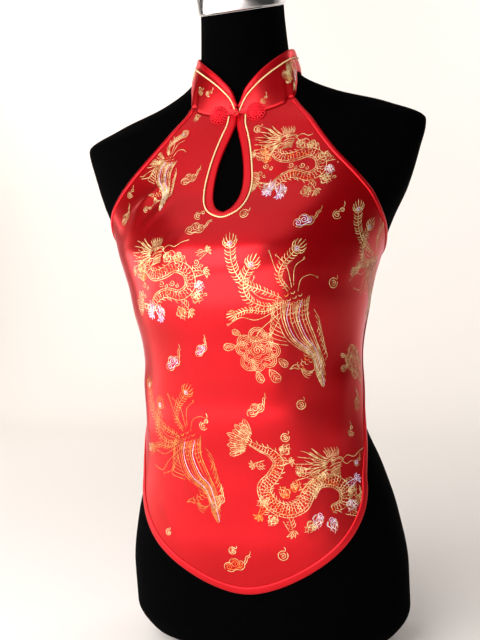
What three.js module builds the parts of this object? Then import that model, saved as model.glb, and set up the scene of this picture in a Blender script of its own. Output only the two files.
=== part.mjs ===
// A red brocade halter top with a mandarin collar, worn by a black dress form.
// Millimetres, +Z up. The form faces -Y and stands on Z = 0. +X is the wearer's left.
// "Azimuth" is the angle round the form from the middle of its front, in degrees.
import * as THREE from "three";

// Driving sizes
const degrees = Math.PI / 180;
const clothThickness = 1.2;
const bindingThickness = 0.9;
const seamGap = 0.35;
const pipingRadius = 0.8;
const pipingSides = 6;
const halfColumns = 14;
const hemRoundness = 1.8;
const fullCurl = 80;

// Sections of the dress form: half width, depth to the front and to the back, and how square they are
const formSections = [
  { height: 0, width: 102, front: 52, back: 68, corner: 2.2 },
  { height: 5, width: 118, front: 63, back: 81, corner: 2.2 },
  { height: 16, width: 145, front: 79, back: 101, corner: 2.2 },
  { height: 45, width: 163, front: 90, back: 116, corner: 2.2 },
  { height: 90, width: 163, front: 100, back: 121, corner: 2.2 },
  { height: 150, width: 154, front: 108, back: 116, corner: 2.2 },
  { height: 205, width: 138, front: 105, back: 104, corner: 2.2 },
  { height: 245, width: 122, front: 101, back: 90, corner: 2.2 },
  { height: 285, width: 112, front: 101, back: 79, corner: 2.2 },
  { height: 320, width: 113, front: 110, back: 76, corner: 2.25 },
  { height: 355, width: 119, front: 126, back: 78, corner: 2.3 },
  { height: 400, width: 131, front: 146, back: 87, corner: 2.4 },
  { height: 425, width: 138, front: 149, back: 92, corner: 2.4 },
  { height: 450, width: 147, front: 144, back: 97, corner: 2.4 },
  { height: 485, width: 162, front: 121, back: 100, corner: 2.3 },
  { height: 520, width: 180, front: 93, back: 100, corner: 2.3 },
  { height: 560, width: 194, front: 71, back: 95, corner: 2.3 },
  { height: 590, width: 202, front: 58, back: 86, corner: 2.2 },
  { height: 612, width: 163, front: 50, back: 80, corner: 1.8 },
  { height: 632, width: 105, front: 47, back: 71, corner: 1.7 },
  { height: 650, width: 70, front: 47, back: 61, corner: 1.8 },
  { height: 666, width: 54, front: 48, back: 52, corner: 2 },
  { height: 700, width: 50, front: 54, back: 43, corner: 2 },
  { height: 740, width: 48, front: 61, back: 36, corner: 2 },
  { height: 770, width: 48, front: 66, back: 31, corner: 2 },
];

// How far the cloth stands off the form at the middle, obliquely and at the side
const obliqueAzimuth = 60;
const sideAzimuth = 95;
const easeRows = [
  { height: 85, middle: 1.6, oblique: 1.6, side: 1.6 },
  { height: 150, middle: 1.2, oblique: 2, side: 1.6 },
  { height: 205, middle: 8, oblique: 7, side: 3 },
  { height: 245, middle: 17, oblique: 16, side: 6 },
  { height: 285, middle: 23, oblique: 21, side: 8 },
  { height: 320, middle: 20, oblique: 17, side: 6 },
  { height: 355, middle: 12, oblique: 10, side: 3 },
  { height: 400, middle: 3, oblique: 4, side: 1.5 },
  { height: 425, middle: 0.8, oblique: 1.6, side: 1 },
  { height: 485, middle: 2, oblique: 1.6, side: 1 },
  { height: 590, middle: 1.8, oblique: 1.6, side: 1.6 },
  { height: 660, middle: 2, oblique: 1.8, side: 1.6 },
];

// Rows of the front panel, from the collar seam to the hem: height at the middle, height and azimuth
// of the cut edge, and the width of the binding on that edge
const panelRows = [
  { row: 0, middle: 603, edge: 618.5, reach: 53, band: 4.5 },
  { row: 1, middle: 592, edge: 607, reach: 54.3, band: 4.5 },
  { row: 2, middle: 580, edge: 594.5, reach: 55.3, band: 4.5 },
  { row: 3, middle: 566, edge: 581, reach: 56.6, band: 4.5 },
  { row: 4, middle: 552, edge: 568, reach: 57.9, band: 4.5 },
  { row: 5, middle: 538, edge: 555, reach: 59.3, band: 4.5 },
  { row: 6, middle: 524, edge: 542, reach: 61, band: 4.5 },
  { row: 7, middle: 512, edge: 530, reach: 62.7, band: 4.5 },
  { row: 8, middle: 501, edge: 519, reach: 64.4, band: 4.5 },
  { row: 9, middle: 494.5, edge: 509, reach: 66.2, band: 4.5 },
  { row: 10, middle: 489, edge: 500, reach: 68, band: 4.5 },
  { row: 11, middle: 486.5, edge: 491, reach: 70.5, band: 4.5 },
  { row: 12, middle: 474, edge: 481, reach: 75, band: 4.5 },
  { row: 13, middle: 460, edge: 470, reach: 82, band: 4.5 },
  { row: 14, middle: 446, edge: 460, reach: 91, band: 4.5 },
  { row: 15, middle: 432, edge: 451, reach: 100, band: 4.5 },
  { row: 16, middle: 418, edge: 441, reach: 107, band: 5 },
  { row: 17, middle: 402, edge: 417, reach: 107.5, band: 5.5 },
  { row: 18, middle: 380, edge: 397, reach: 104, band: 5.5 },
  { row: 19, middle: 356, edge: 376, reach: 99.5, band: 5.5 },
  { row: 20, middle: 332, edge: 354, reach: 94, band: 5.5 },
  { row: 21, middle: 307, edge: 332, reach: 88, band: 5.5 },
  { row: 22, middle: 281, edge: 311, reach: 82.5, band: 5.5 },
  { row: 23, middle: 254, edge: 291, reach: 77.8, band: 5.5 },
  { row: 24, middle: 226, edge: 272, reach: 74, band: 5.5 },
  { row: 25, middle: 197, edge: 254, reach: 71, band: 6 },
  { row: 26, middle: 167, edge: 238, reach: 69.2, band: 6.5 },
  { row: 27, middle: 136, edge: 226, reach: 67.5, band: 7 },
  { row: 28, middle: 112, edge: 218, reach: 66.5, band: 7.5 },
  { row: 29, middle: 96, edge: 212, reach: 65.7, band: 7.5 },
  { row: 30, middle: 88.5, edge: 205, reach: 65, band: 7.5 },
];
const lastKeyholeRow = 10;
const cornerRow = 16;
const fineRowsFrom = 17;
const fineRowsTo = 28;
const slopeStep = 0.25;

// The keyhole: half width and height of its own edge and of its binding's outer edge
const keyholeRows = [
  { row: 0, inner: 0.7, innerHeight: 603, outer: 8, outerHeight: 603 },
  { row: 1, inner: 1.2, innerHeight: 592, outer: 9.2, outerHeight: 592 },
  { row: 2, inner: 4.5, innerHeight: 580, outer: 13.2, outerHeight: 580 },
  { row: 3, inner: 9, innerHeight: 566, outer: 17, outerHeight: 566 },
  { row: 4, inner: 12.5, innerHeight: 552, outer: 20, outerHeight: 552 },
  { row: 5, inner: 14.8, innerHeight: 538, outer: 22.3, outerHeight: 538 },
  { row: 6, inner: 15.8, innerHeight: 524, outer: 23.8, outerHeight: 524 },
  { row: 7, inner: 15.2, innerHeight: 512, outer: 23.2, outerHeight: 511 },
  { row: 8, inner: 12.8, innerHeight: 503, outer: 20.6, outerHeight: 501 },
  { row: 9, inner: 8.2, innerHeight: 495.5, outer: 15.8, outerHeight: 493.5 },
  { row: 10, inner: 0, innerHeight: 491, outer: 8.6, outerHeight: 488.5 },
];

// Creases of the front panel: a line from one place to another, its depth and its half width.
// They fade over the given share of their length at both ends.
const creaseRadius = 110;
const creaseFade = 0.35;
const creaseOverrun = 0.3;
const creases = [
  { fromAzimuth: -48, fromHeight: 530, toAzimuth: -46, toHeight: 470, depth: 2.2, spread: 9 },
  { fromAzimuth: -12, fromHeight: 478, toAzimuth: -30, toHeight: 400, depth: 2.0, spread: 12 },
  { fromAzimuth: 30, fromHeight: 590, toAzimuth: 18, toHeight: 560, depth: 1.6, spread: 7 },
  { fromAzimuth: 44, fromHeight: 575, toAzimuth: 30, toHeight: 530, depth: 1.8, spread: 9 },
  { fromAzimuth: 24, fromHeight: 375, toAzimuth: 22, toHeight: 300, depth: 2.6, spread: 8 },
  { fromAzimuth: -24, fromHeight: 250, toAzimuth: -20, toHeight: 205, depth: 1.8, spread: 9 },
  { fromAzimuth: 62, fromHeight: 470, toAzimuth: 50, toHeight: 410, depth: 1.8, spread: 9 },
  { fromAzimuth: -62, fromHeight: 330, toAzimuth: -52, toHeight: 240, depth: 2.4, spread: 12 },
  { fromAzimuth: 56, fromHeight: 330, toAzimuth: 50, toHeight: 240, depth: 2.4, spread: 12 },
];

// The top is worn a little turned towards the wearer's left, from the given height up to the collar
const wornTurn = 4;
const turnedFrom = 540;
const turnedOver = 100;

// The collar: height of its seam and of its top edge round the neck. It stands off the neck by its
// clearance, and is shifted towards the wearer's left.
const collarRows = [
  { azimuth: 0, base: 603, top: 611 },
  { azimuth: 4, base: 603.1, top: 622 },
  { azimuth: 9, base: 603.4, top: 632 },
  { azimuth: 18, base: 604.3, top: 642 },
  { azimuth: 32, base: 607.3, top: 654.5 },
  { azimuth: 53, base: 618.9, top: 669 },
  { azimuth: 60, base: 635, top: 673 },
  { azimuth: 67, base: 647.5, top: 677 },
  { azimuth: 76, base: 654.5, top: 680.5 },
  { azimuth: 100, base: 655.5, top: 686 },
  { azimuth: 130, base: 657.5, top: 690 },
  { azimuth: 180, base: 660, top: 693 },
];
const collarClearance = 3;
const collarShift = 1.8;
const collarBand = 9.5;
const largestBandShare = 0.8;

// A smooth column of a table, read at any place between its rows, with no overshoot
function column(rows, key, along) {
  const x = rows.map((row) => row[along]);
  const y = rows.map((row) => row[key]);
  const last = rows.length - 1;
  const slopes = y.slice(1).map((value, i) => (value - y[i]) / (x[i + 1] - x[i]));
  const tangents = y.map((value, i) => {
    if (i === 0 || i === last) return slopes[i === 0 ? 0 : last - 1];
    const product = slopes[i - 1] * slopes[i];
    return product <= 0 ? 0 : (2 * product) / (slopes[i - 1] + slopes[i]);
  });
  return (place) => {
    let i = 0;
    while (i < last - 1 && place > x[i + 1]) i += 1;
    const span = x[i + 1] - x[i];
    const t = Math.min(1, Math.max(0, (place - x[i]) / span));
    const rise = y[i] * (1 + 2 * t) * (1 - t) ** 2 + y[i + 1] * t * t * (3 - 2 * t);
    return rise + span * t * (1 - t) * (tangents[i] * (1 - t) - tangents[i + 1] * t);
  };
}

function columnsOf(rows, keys, along) {
  return Object.fromEntries(keys.map((key) => [key, column(rows, key, along)]));
}

const form = columnsOf(formSections, ["width", "front", "back", "corner"], "height");
const ease = columnsOf(easeRows, ["middle", "oblique", "side"], "height");
const panel = columnsOf(panelRows, ["middle", "edge", "reach", "band"], "row");
const collar = columnsOf(collarRows, ["base", "top"], "azimuth");

function smoothStep(value) {
  const t = Math.min(1, Math.max(0, value));
  return t * t * (3 - 2 * t);
}

// Distance of the form's surface from its axis
function formRadius(azimuth, height) {
  const angle = azimuth * degrees;
  const depth = Math.cos(angle) > 0 ? form.front(height) : form.back(height);
  const corner = form.corner(height);
  const across = Math.abs(Math.sin(angle)) / form.width(height);
  const along = Math.abs(Math.cos(angle)) / depth;
  return (across ** corner + along ** corner) ** (-1 / corner);
}

function placeAt(azimuth, height, radius) {
  const angle = azimuth * degrees;
  return new THREE.Vector3(radius * Math.sin(angle), -radius * Math.cos(angle), height);
}

function easeAt(azimuth, height) {
  const round = Math.abs(azimuth);
  const oblique = ease.oblique(height);
  if (round < obliqueAzimuth) {
    return THREE.MathUtils.lerp(ease.middle(height), oblique, smoothStep(round / obliqueAzimuth));
  }
  const share = smoothStep((round - obliqueAzimuth) / (sideAzimuth - obliqueAzimuth));
  return THREE.MathUtils.lerp(oblique, ease.side(height), share);
}

// Depth of the creases at one place of the cloth
function creaseAt(azimuth, height) {
  let depth = 0;
  for (const crease of creases) {
    const runX = (crease.toAzimuth - crease.fromAzimuth) * degrees * creaseRadius;
    const runZ = crease.toHeight - crease.fromHeight;
    const x = (azimuth - crease.fromAzimuth) * degrees * creaseRadius;
    const z = height - crease.fromHeight;
    const t = (x * runX + z * runZ) / (runX * runX + runZ * runZ);
    const off = Math.hypot(x - t * runX, z - t * runZ) / crease.spread;
    const fadeIn = smoothStep(t / creaseFade + creaseOverrun);
    const fadeOut = smoothStep((1 - t) / creaseFade + creaseOverrun);
    depth += crease.depth * fadeIn * fadeOut * Math.exp(-off * off);
  }
  return depth;
}

// Where a place of the cloth comes to lie on the form
function wornAzimuth(azimuth, height) {
  return azimuth + wornTurn * smoothStep((height - turnedFrom) / turnedOver);
}

// The inner face of the cloth
function clothAt(azimuth, height) {
  const worn = wornAzimuth(azimuth, height);
  return placeAt(worn, height, formRadius(worn, height) + easeAt(worn, height));
}

// Direction straight out of a surface that is given as a function of two numbers
function normalOf(surface, u, v, stepU, stepV) {
  const alongU = surface(u + stepU, v).sub(surface(u - stepU, v));
  const alongV = surface(u, v + stepV).sub(surface(u, v - stepV));
  return alongU.cross(alongV).normalize();
}

function clothNormal(azimuth, height) {
  return normalOf(clothAt, azimuth, height, 0.1, 0.5);
}

// One named piece
function piece(name, geometry, finish) {
  const mesh = new THREE.Mesh(geometry, finish);
  mesh.name = name;
  return mesh;
}

function geometryOf(points, triangles) {
  const geometry = new THREE.BufferGeometry();
  geometry.setAttribute("position", new THREE.Float32BufferAttribute(points.flatMap((p) => p.toArray()), 3));
  geometry.setIndex(triangles.flat());
  geometry.computeVertexNormals();
  return geometry;
}

// A closed wall over a patch of triangles, between two heights above the patch
function wall(patch, triangles, low, high) {
  const used = [...new Set(triangles.flat())];
  const place = new Map(used.map((vertex, i) => [vertex, i]));
  const count = used.length;
  const lower = used.map((v) => patch.points[v].clone().addScaledVector(patch.normals[v], low));
  const upper = used.map((v) => patch.points[v].clone().addScaledVector(patch.normals[v], high));
  const faces = [];
  const edges = new Map();
  for (const triangle of triangles) {
    const [a, b, c] = triangle.map((v) => place.get(v));
    faces.push([a + count, b + count, c + count], [a, c, b]);
    for (const [from, to] of [[a, b], [b, c], [c, a]]) edges.set(`${from} ${to}`, [from, to]);
  }
  for (const [from, to] of edges.values()) {
    if (edges.has(`${to} ${from}`)) continue;
    faces.push([from, to, to + count], [from, to + count, from + count]);
  }
  return geometryOf([...lower, ...upper], faces);
}

// A closed solid through rings of equal length, with a flat or pointed middle at each end
function loft(rings) {
  const round = rings[0].length;
  const points = rings.flat();
  const faces = [];
  for (let j = 0; j + 1 < rings.length; j += 1) {
    for (let i = 0; i < round; i += 1) {
      const next = (i + 1) % round;
      const a = j * round + i;
      const b = j * round + next;
      faces.push([a, b, b + round], [a, b + round, a + round]);
    }
  }
  const top = (rings.length - 1) * round;
  const ends = [[0, true], [top, false]];
  for (const [start, low] of ends) {
    const middle = new THREE.Vector3();
    for (let i = 0; i < round; i += 1) middle.addScaledVector(points[start + i], 1 / round);
    const centre = points.push(middle) - 1;
    for (let i = 0; i < round; i += 1) {
      const a = start + i;
      const b = start + (i + 1) % round;
      faces.push(low ? [centre, b, a] : [centre, a, b]);
    }
  }
  return geometryOf(points, faces);
}

// A cord of round section along a list of points
function cord(path, radius, sides) {
  const rings = path.map((point, i) => {
    const before = path[Math.max(0, i - 1)];
    const after = path[Math.min(path.length - 1, i + 1)];
    return { point, along: after.clone().sub(before).normalize() };
  });
  const first = rings[0].along;
  let side = new THREE.Vector3(0, -1, 0).cross(first);
  if (side.length() < 0.2) side = new THREE.Vector3(1, 0, 0).cross(first);
  return loft(rings.map(({ point, along }) => {
    side = side.addScaledVector(along, -side.dot(along)).normalize();
    const up = along.clone().cross(side);
    return Array.from({ length: sides }, (unused, i) => {
      const angle = (i / sides) * 2 * Math.PI;
      const offset = side.clone().multiplyScalar(Math.cos(angle)).addScaledVector(up, Math.sin(angle));
      return point.clone().addScaledVector(offset, radius);
    });
  }));
}

// A flat strap along a list of places: its two edges and the direction out of the form
function strap(path, thickness) {
  return loft(path.map(({ edges, out }) => [
    edges[0],
    edges[1],
    edges[1].clone().addScaledVector(out, thickness),
    edges[0].clone().addScaledVector(out, thickness),
  ]));
}

// Finishes
const blackJersey = new THREE.MeshStandardMaterial({ color: 0x17181c, roughness: 0.95 });
const chrome = new THREE.MeshStandardMaterial({ color: 0xd8d8d8, roughness: 0.15, metalness: 1 });
const redBrocade = new THREE.MeshStandardMaterial({ color: 0xc01830, roughness: 0.45 });
const redSatin = new THREE.MeshStandardMaterial({ color: 0xa80f24, roughness: 0.4 });
const redCord = new THREE.MeshStandardMaterial({ color: 0xb01228, roughness: 0.6 });
const goldCord = new THREE.MeshStandardMaterial({ color: 0xd9b67a, roughness: 0.5 });

// The dress form: rings up to the neck, whose top plane tilts forward
const formColumns = 44;
const neckTop = 736;
const neckTilt = 20;
const neckBend = 666;
const formHeights = [
  0, 5, 16, 30, 45, 68, 90, 120, 150, 178, 205, 225, 245, 265, 285, 303, 320, 338, 355, 378, 400, 413, 425,
  438, 450, 468, 485, 503, 520, 540, 560, 577, 590, 601, 612, 622, 632, 641, 650, 658, 666, 682, 700, 718,
  neckTop,
];

function formRing(height) {
  const tilt = neckTilt * smoothStep((height - neckBend) / (neckTop - neckBend)) * degrees;
  return Array.from({ length: formColumns }, (unused, i) => {
    const azimuth = (i / formColumns) * 360;
    let level = height;
    for (let pass = 0; pass < 3; pass += 1) {
      level = height + placeAt(azimuth, level, formRadius(azimuth, level)).y * Math.tan(tilt);
    }
    return placeAt(azimuth, level, formRadius(azimuth, level));
  });
}

function dressForm() {
  return loft(formHeights.map(formRing));
}

// The cap on the neck: height above the neck's tilted top plane, and how far it stands beyond the edge
const capRows = [
  { rise: 0.3, spread: 1 },
  { rise: 2, spread: 2.5 },
  { rise: 22, spread: 2.5 },
  { rise: 26, spread: 0.5 },
  { rise: 29, spread: -6 },
  { rise: 31, spread: -22 },
];

function neckCap() {
  const rim = formRing(neckTop);
  const middle = new THREE.Vector3();
  for (const point of rim) middle.addScaledVector(point, 1 / rim.length);
  const up = new THREE.Vector3(0, -Math.sin(neckTilt * degrees), Math.cos(neckTilt * degrees));
  return loft(capRows.map(({ rise, spread }) => rim.map((point) => {
    const outward = point.clone().sub(middle);
    const reach = outward.length();
    return middle.clone().addScaledVector(outward, (reach + spread) / reach).addScaledVector(up, rise);
  })));
}

// Place of the binding's inner edge on a row: the cut edge moved in by the binding's width
function insetEdge(row) {
  const azimuth = panel.reach(row);
  const height = panel.edge(row);
  const radius = formRadius(azimuth, height);
  const runX = (panel.reach(row + slopeStep) - panel.reach(row - slopeStep)) * degrees * radius;
  const runZ = panel.edge(row + slopeStep) - panel.edge(row - slopeStep);
  const length = Math.hypot(runX, runZ);
  const band = panel.band(row);
  return {
    azimuth: azimuth + ((runZ / length) * band) / radius / degrees,
    height: height - (runX / length) * band,
  };
}

// Places of one row of the panel, from the middle to the cut edge
function panelRow(row) {
  const keyhole = keyholeRows[row];
  const isHem = row === panelRows.length - 1;
  const edge = { azimuth: panel.reach(row), height: panel.edge(row) };
  const end = isHem ? edge : insetEdge(row);
  const cells = isHem ? halfColumns : halfColumns - 1;
  const start = { azimuth: 0, height: panel.middle(row) };
  const places = [];
  let first = 0;
  if (keyhole) {
    const radius = formRadius(0, keyhole.innerHeight);
    places.push({ azimuth: keyhole.inner / radius / degrees, height: keyhole.innerHeight });
    start.azimuth = keyhole.outer / radius / degrees;
    start.height = keyhole.outerHeight;
    first = 1;
  }
  const curl = Math.min(1, (end.height - start.height) / fullCurl);
  for (let i = first; i <= cells; i += 1) {
    const even = (i - first) / (cells - first);
    const bunched = Math.sin(even * Math.PI / 2) ** (2 / hemRoundness);
    const share = THREE.MathUtils.lerp(even, bunched, curl);
    const drop = (1 - share ** hemRoundness) ** (1 / hemRoundness);
    places.push({
      azimuth: start.azimuth + (end.azimuth - start.azimuth) * share,
      height: end.height - (end.height - start.height) * (share === 1 ? 0 : drop),
    });
  }
  if (!isHem) places.push(edge);
  return places;
}

// The panel's grid of points, its left half and its right half, joined below the keyhole
function panelPatch() {
  const rows = [];
  for (let row = 0; row < panelRows.length; row += 1) {
    rows.push(row);
    if (row >= fineRowsFrom && row < fineRowsTo) rows.push(row + 0.5);
  }
  const patch = { points: [], normals: [], grid: [] };
  const add = (azimuth, height) => {
    const normal = clothNormal(azimuth, height);
    patch.normals.push(normal);
    return patch.points.push(clothAt(azimuth, height).addScaledVector(normal, creaseAt(azimuth, height))) - 1;
  };
  for (const row of rows) {
    const places = panelRow(row);
    const right = places.map(({ azimuth, height }) => add(azimuth, height));
    const left = places.map(({ azimuth, height }, i) => {
      if (i === 0 && row >= lastKeyholeRow) return right[0];
      return add(-azimuth, height);
    });
    patch.grid.push({ row, right, left });
  }
  return patch;
}

// Triangles of the panel's grid, each with the row and column of its cell
function panelCells(patch) {
  const cells = [];
  for (let j = 0; j + 1 < patch.grid.length; j += 1) {
    for (const half of ["right", "left"]) {
      const upper = patch.grid[j][half];
      const lower = patch.grid[j + 1][half];
      for (let i = 0; i < halfColumns; i += 1) {
        const place = { row: patch.grid[j].row, column: i, half };
        const triangles = [[upper[i], lower[i], upper[i + 1]], [upper[i + 1], lower[i], lower[i + 1]]];
        triangles.forEach((triangle, part) => {
          if (half === "left") triangle.reverse();
          cells.push({ ...place, part, triangle });
        });
      }
    }
  }
  return cells;
}

function isKeyholeBand(cell) {
  if (cell.column > 0 || cell.row > lastKeyholeRow) return false;
  return cell.row < lastKeyholeRow || cell.part === 0;
}

function isEdgeBand(cell) {
  return cell.column === halfColumns - 1 || cell.row === panelRows.length - 2;
}

// The collar's grid of points. Its first columns stand on the panel's own top row.
const backColumns = 16;
const collarRowCount = 4;

function collarPatch() {
  const topRow = panelRow(0).map(({ azimuth, height }) => ({ azimuth, base: height + seamGap }));
  const seamEnd = topRow[topRow.length - 1].azimuth;
  const half = [...topRow];
  for (let i = 1; i <= backColumns; i += 1) {
    const azimuth = seamEnd + (180 - seamEnd) * (i / backColumns);
    half.push({ azimuth, base: collar.base(azimuth) + seamGap });
  }
  const left = half.slice(0, -1).map(({ azimuth, base }) => ({ azimuth: -azimuth, base })).reverse();
  const columns = [...half, ...left];
  const patch = { points: [], normals: [], columns: columns.length };
  for (const { azimuth, base } of columns) {
    const round = Math.abs(azimuth);
    const foot = clothAt(azimuth, base);
    const top = collar.top(round);
    const worn = wornAzimuth(azimuth, top);
    const clearance = collarClearance + collarShift * Math.sin(worn * degrees);
    const head = placeAt(worn, top, formRadius(worn, top) + clearance);
    const rise = head.clone().sub(foot);
    const band = Math.min(largestBandShare, collarBand / rise.length());
    const shares = [0, (1 - band) / 2, 1 - band, 1];
    const tangent = new THREE.Vector3(Math.cos(worn * degrees), Math.sin(worn * degrees), 0);
    const upright = tangent.cross(rise).normalize();
    shares.forEach((share, i) => {
      patch.points.push(foot.clone().addScaledVector(rise, share));
      patch.normals.push(i === 0 ? clothNormal(azimuth, base) : upright);
    });
  }
  return patch;
}

function collarCells(patch) {
  const cells = [];
  for (let i = 0; i + 1 < patch.columns; i += 1) {
    for (let j = 0; j + 1 < collarRowCount; j += 1) {
      const a = i * collarRowCount + j;
      const b = a + collarRowCount;
      cells.push({ row: j, triangle: [a, b, b + 1] });
      cells.push({ row: j, triangle: [a, b + 1, a + 1] });
    }
  }
  return cells;
}

// A cord of piping beside a line of grid points, on the side away from another line
function piping(patch, line, inner, standoff) {
  const path = line.map((vertex, i) => {
    const out = patch.normals[vertex];
    const before = patch.points[line[Math.max(0, i - 1)]];
    const after = patch.points[line[Math.min(line.length - 1, i + 1)]];
    const away = after.clone().sub(before).cross(out).normalize();
    if (away.dot(patch.points[vertex].clone().sub(patch.points[inner[i]])) < 0) away.negate();
    const beside = patch.points[vertex].clone().addScaledVector(away, seamGap + pipingRadius);
    return beside.addScaledVector(out, standoff);
  });
  return cord(path, pipingRadius, pipingSides);
}

// The frog fastening: a flat flower on each side, a stem, a loop and a knotted button
const frogHeight = 604.5;
const flowerRadius = 11.3;
const flowerPetals = 12;
const flowerStandoff = 2.6;
const flowerThickness = 2.6;
const flowerTilt = 11;
const petalDepth = 0.12;
const pointsPerPetal = 4;
const flowerPlaces = { left: 20.5, right: -20.5 };
const buttonRadius = 3.6;
const buttonStretch = 1.35;
const linkRise = 2.9;
const linkRadius = 1.1;
const linkSides = 8;

function frogFrame(across) {
  const azimuth = Math.atan2(across, form.front(frogHeight)) / degrees;
  const turn = wornAzimuth(0, frogHeight) * degrees;
  const side = new THREE.Vector3(Math.cos(turn), Math.sin(turn), 0);
  const up = new THREE.Vector3(0, Math.sin(flowerTilt * degrees), Math.cos(flowerTilt * degrees));
  up.applyAxisAngle(new THREE.Vector3(0, 0, 1), turn);
  const out = side.clone().cross(up);
  const surface = clothAt(azimuth, frogHeight);
  const centre = surface.addScaledVector(out, clothThickness + flowerStandoff);
  return { centre, out, up, side };
}

function frogFlower(across) {
  const { centre, out, up, side } = frogFrame(across);
  const profile = [
    { share: 0.86, rise: 0 },
    { share: 1, rise: 0.35 },
    { share: 0.93, rise: 0.75 },
    { share: 0.6, rise: 1 },
    { share: 0.25, rise: 0.8 },
  ];
  const round = flowerPetals * pointsPerPetal;
  return loft(profile.map(({ share, rise }) => Array.from({ length: round }, (unused, i) => {
    const angle = (i / round) * 2 * Math.PI;
    const scallop = 1 - petalDepth * share * Math.abs(Math.cos(angle * flowerPetals / 2));
    const reach = flowerRadius * share * scallop;
    return centre.clone().addScaledVector(side, reach * Math.cos(angle))
      .addScaledVector(up, reach * Math.sin(angle)).addScaledVector(out, rise * flowerThickness);
  })));
}

function frogLink(across) {
  const { centre, out, side } = frogFrame(across);
  const button = frogFrame(0).centre;
  const sign = Math.sign(across);
  const from = centre.clone().addScaledVector(out, linkRise);
  from.addScaledVector(side, -sign * (flowerRadius + seamGap));
  const to = button.clone().addScaledVector(out, linkRise);
  to.addScaledVector(side, sign * (buttonRadius + seamGap));
  return cord([from, from.clone().lerp(to, 0.5), to], linkRadius, linkSides);
}

function frogButton() {
  const { centre, out } = frogFrame(0);
  const ball = new THREE.SphereGeometry(buttonRadius, 12, 8);
  ball.scale(1, 1, buttonStretch);
  const middle = centre.clone().addScaledVector(out, linkRise);
  ball.rotateX(-flowerTilt * degrees);
  ball.rotateZ(wornAzimuth(0, frogHeight) * degrees);
  ball.translate(middle.x, middle.y, middle.z);
  return ball;
}

// The ties on the back: a strap from each back corner, a knot and two hanging ends
const tieHeight = 428;
const tieStart = 0.6;
const tieSteps = 14;
const tieHalfWidth = 6;
const tieClearance = 1;
const knotHalf = { width: 9, depth: 5, height: 10 };
const tailLengths = { left: 150, right: 135 };
const tailSpread = 9;
const tailSteps = 8;

function tieStrap(sign) {
  const from = panel.reach(cornerRow) + tieStart;
  const to = 180 - (knotHalf.width + seamGap) / form.back(tieHeight) / degrees;
  const path = [];
  for (let i = 0; i <= tieSteps; i += 1) {
    const azimuth = sign * THREE.MathUtils.lerp(from, to, i / tieSteps);
    const edges = [-sign, sign].map((side) => {
      const height = tieHeight + side * tieHalfWidth;
      return placeAt(azimuth, height, formRadius(azimuth, height) + tieClearance);
    });
    path.push({ edges, out: placeAt(azimuth, 0, 1) });
  }
  return strap(path, bindingThickness);
}

function tieKnot() {
  const ball = new THREE.SphereGeometry(1, 16, 10);
  ball.scale(knotHalf.width, knotHalf.depth, knotHalf.height);
  ball.translate(0, form.back(tieHeight) + tieClearance + knotHalf.depth, tieHeight);
  return ball;
}

function tieTail(sign, length) {
  const start = tieHeight - knotHalf.height - seamGap;
  const path = [];
  for (let i = 0; i <= tailSteps; i += 1) {
    const share = i / tailSteps;
    const height = start - length * share;
    const depth = form.back(tieHeight) + tieClearance + knotHalf.depth - bindingThickness / 2;
    const across = sign * (tieHalfWidth + seamGap + tailSpread * share);
    const edges = [1, -1].map((side) => new THREE.Vector3(across + side * tieHalfWidth, depth, height));
    path.push({ edges, out: new THREE.Vector3(0, 1, 0) });
  }
  return strap(path, bindingThickness);
}

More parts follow.
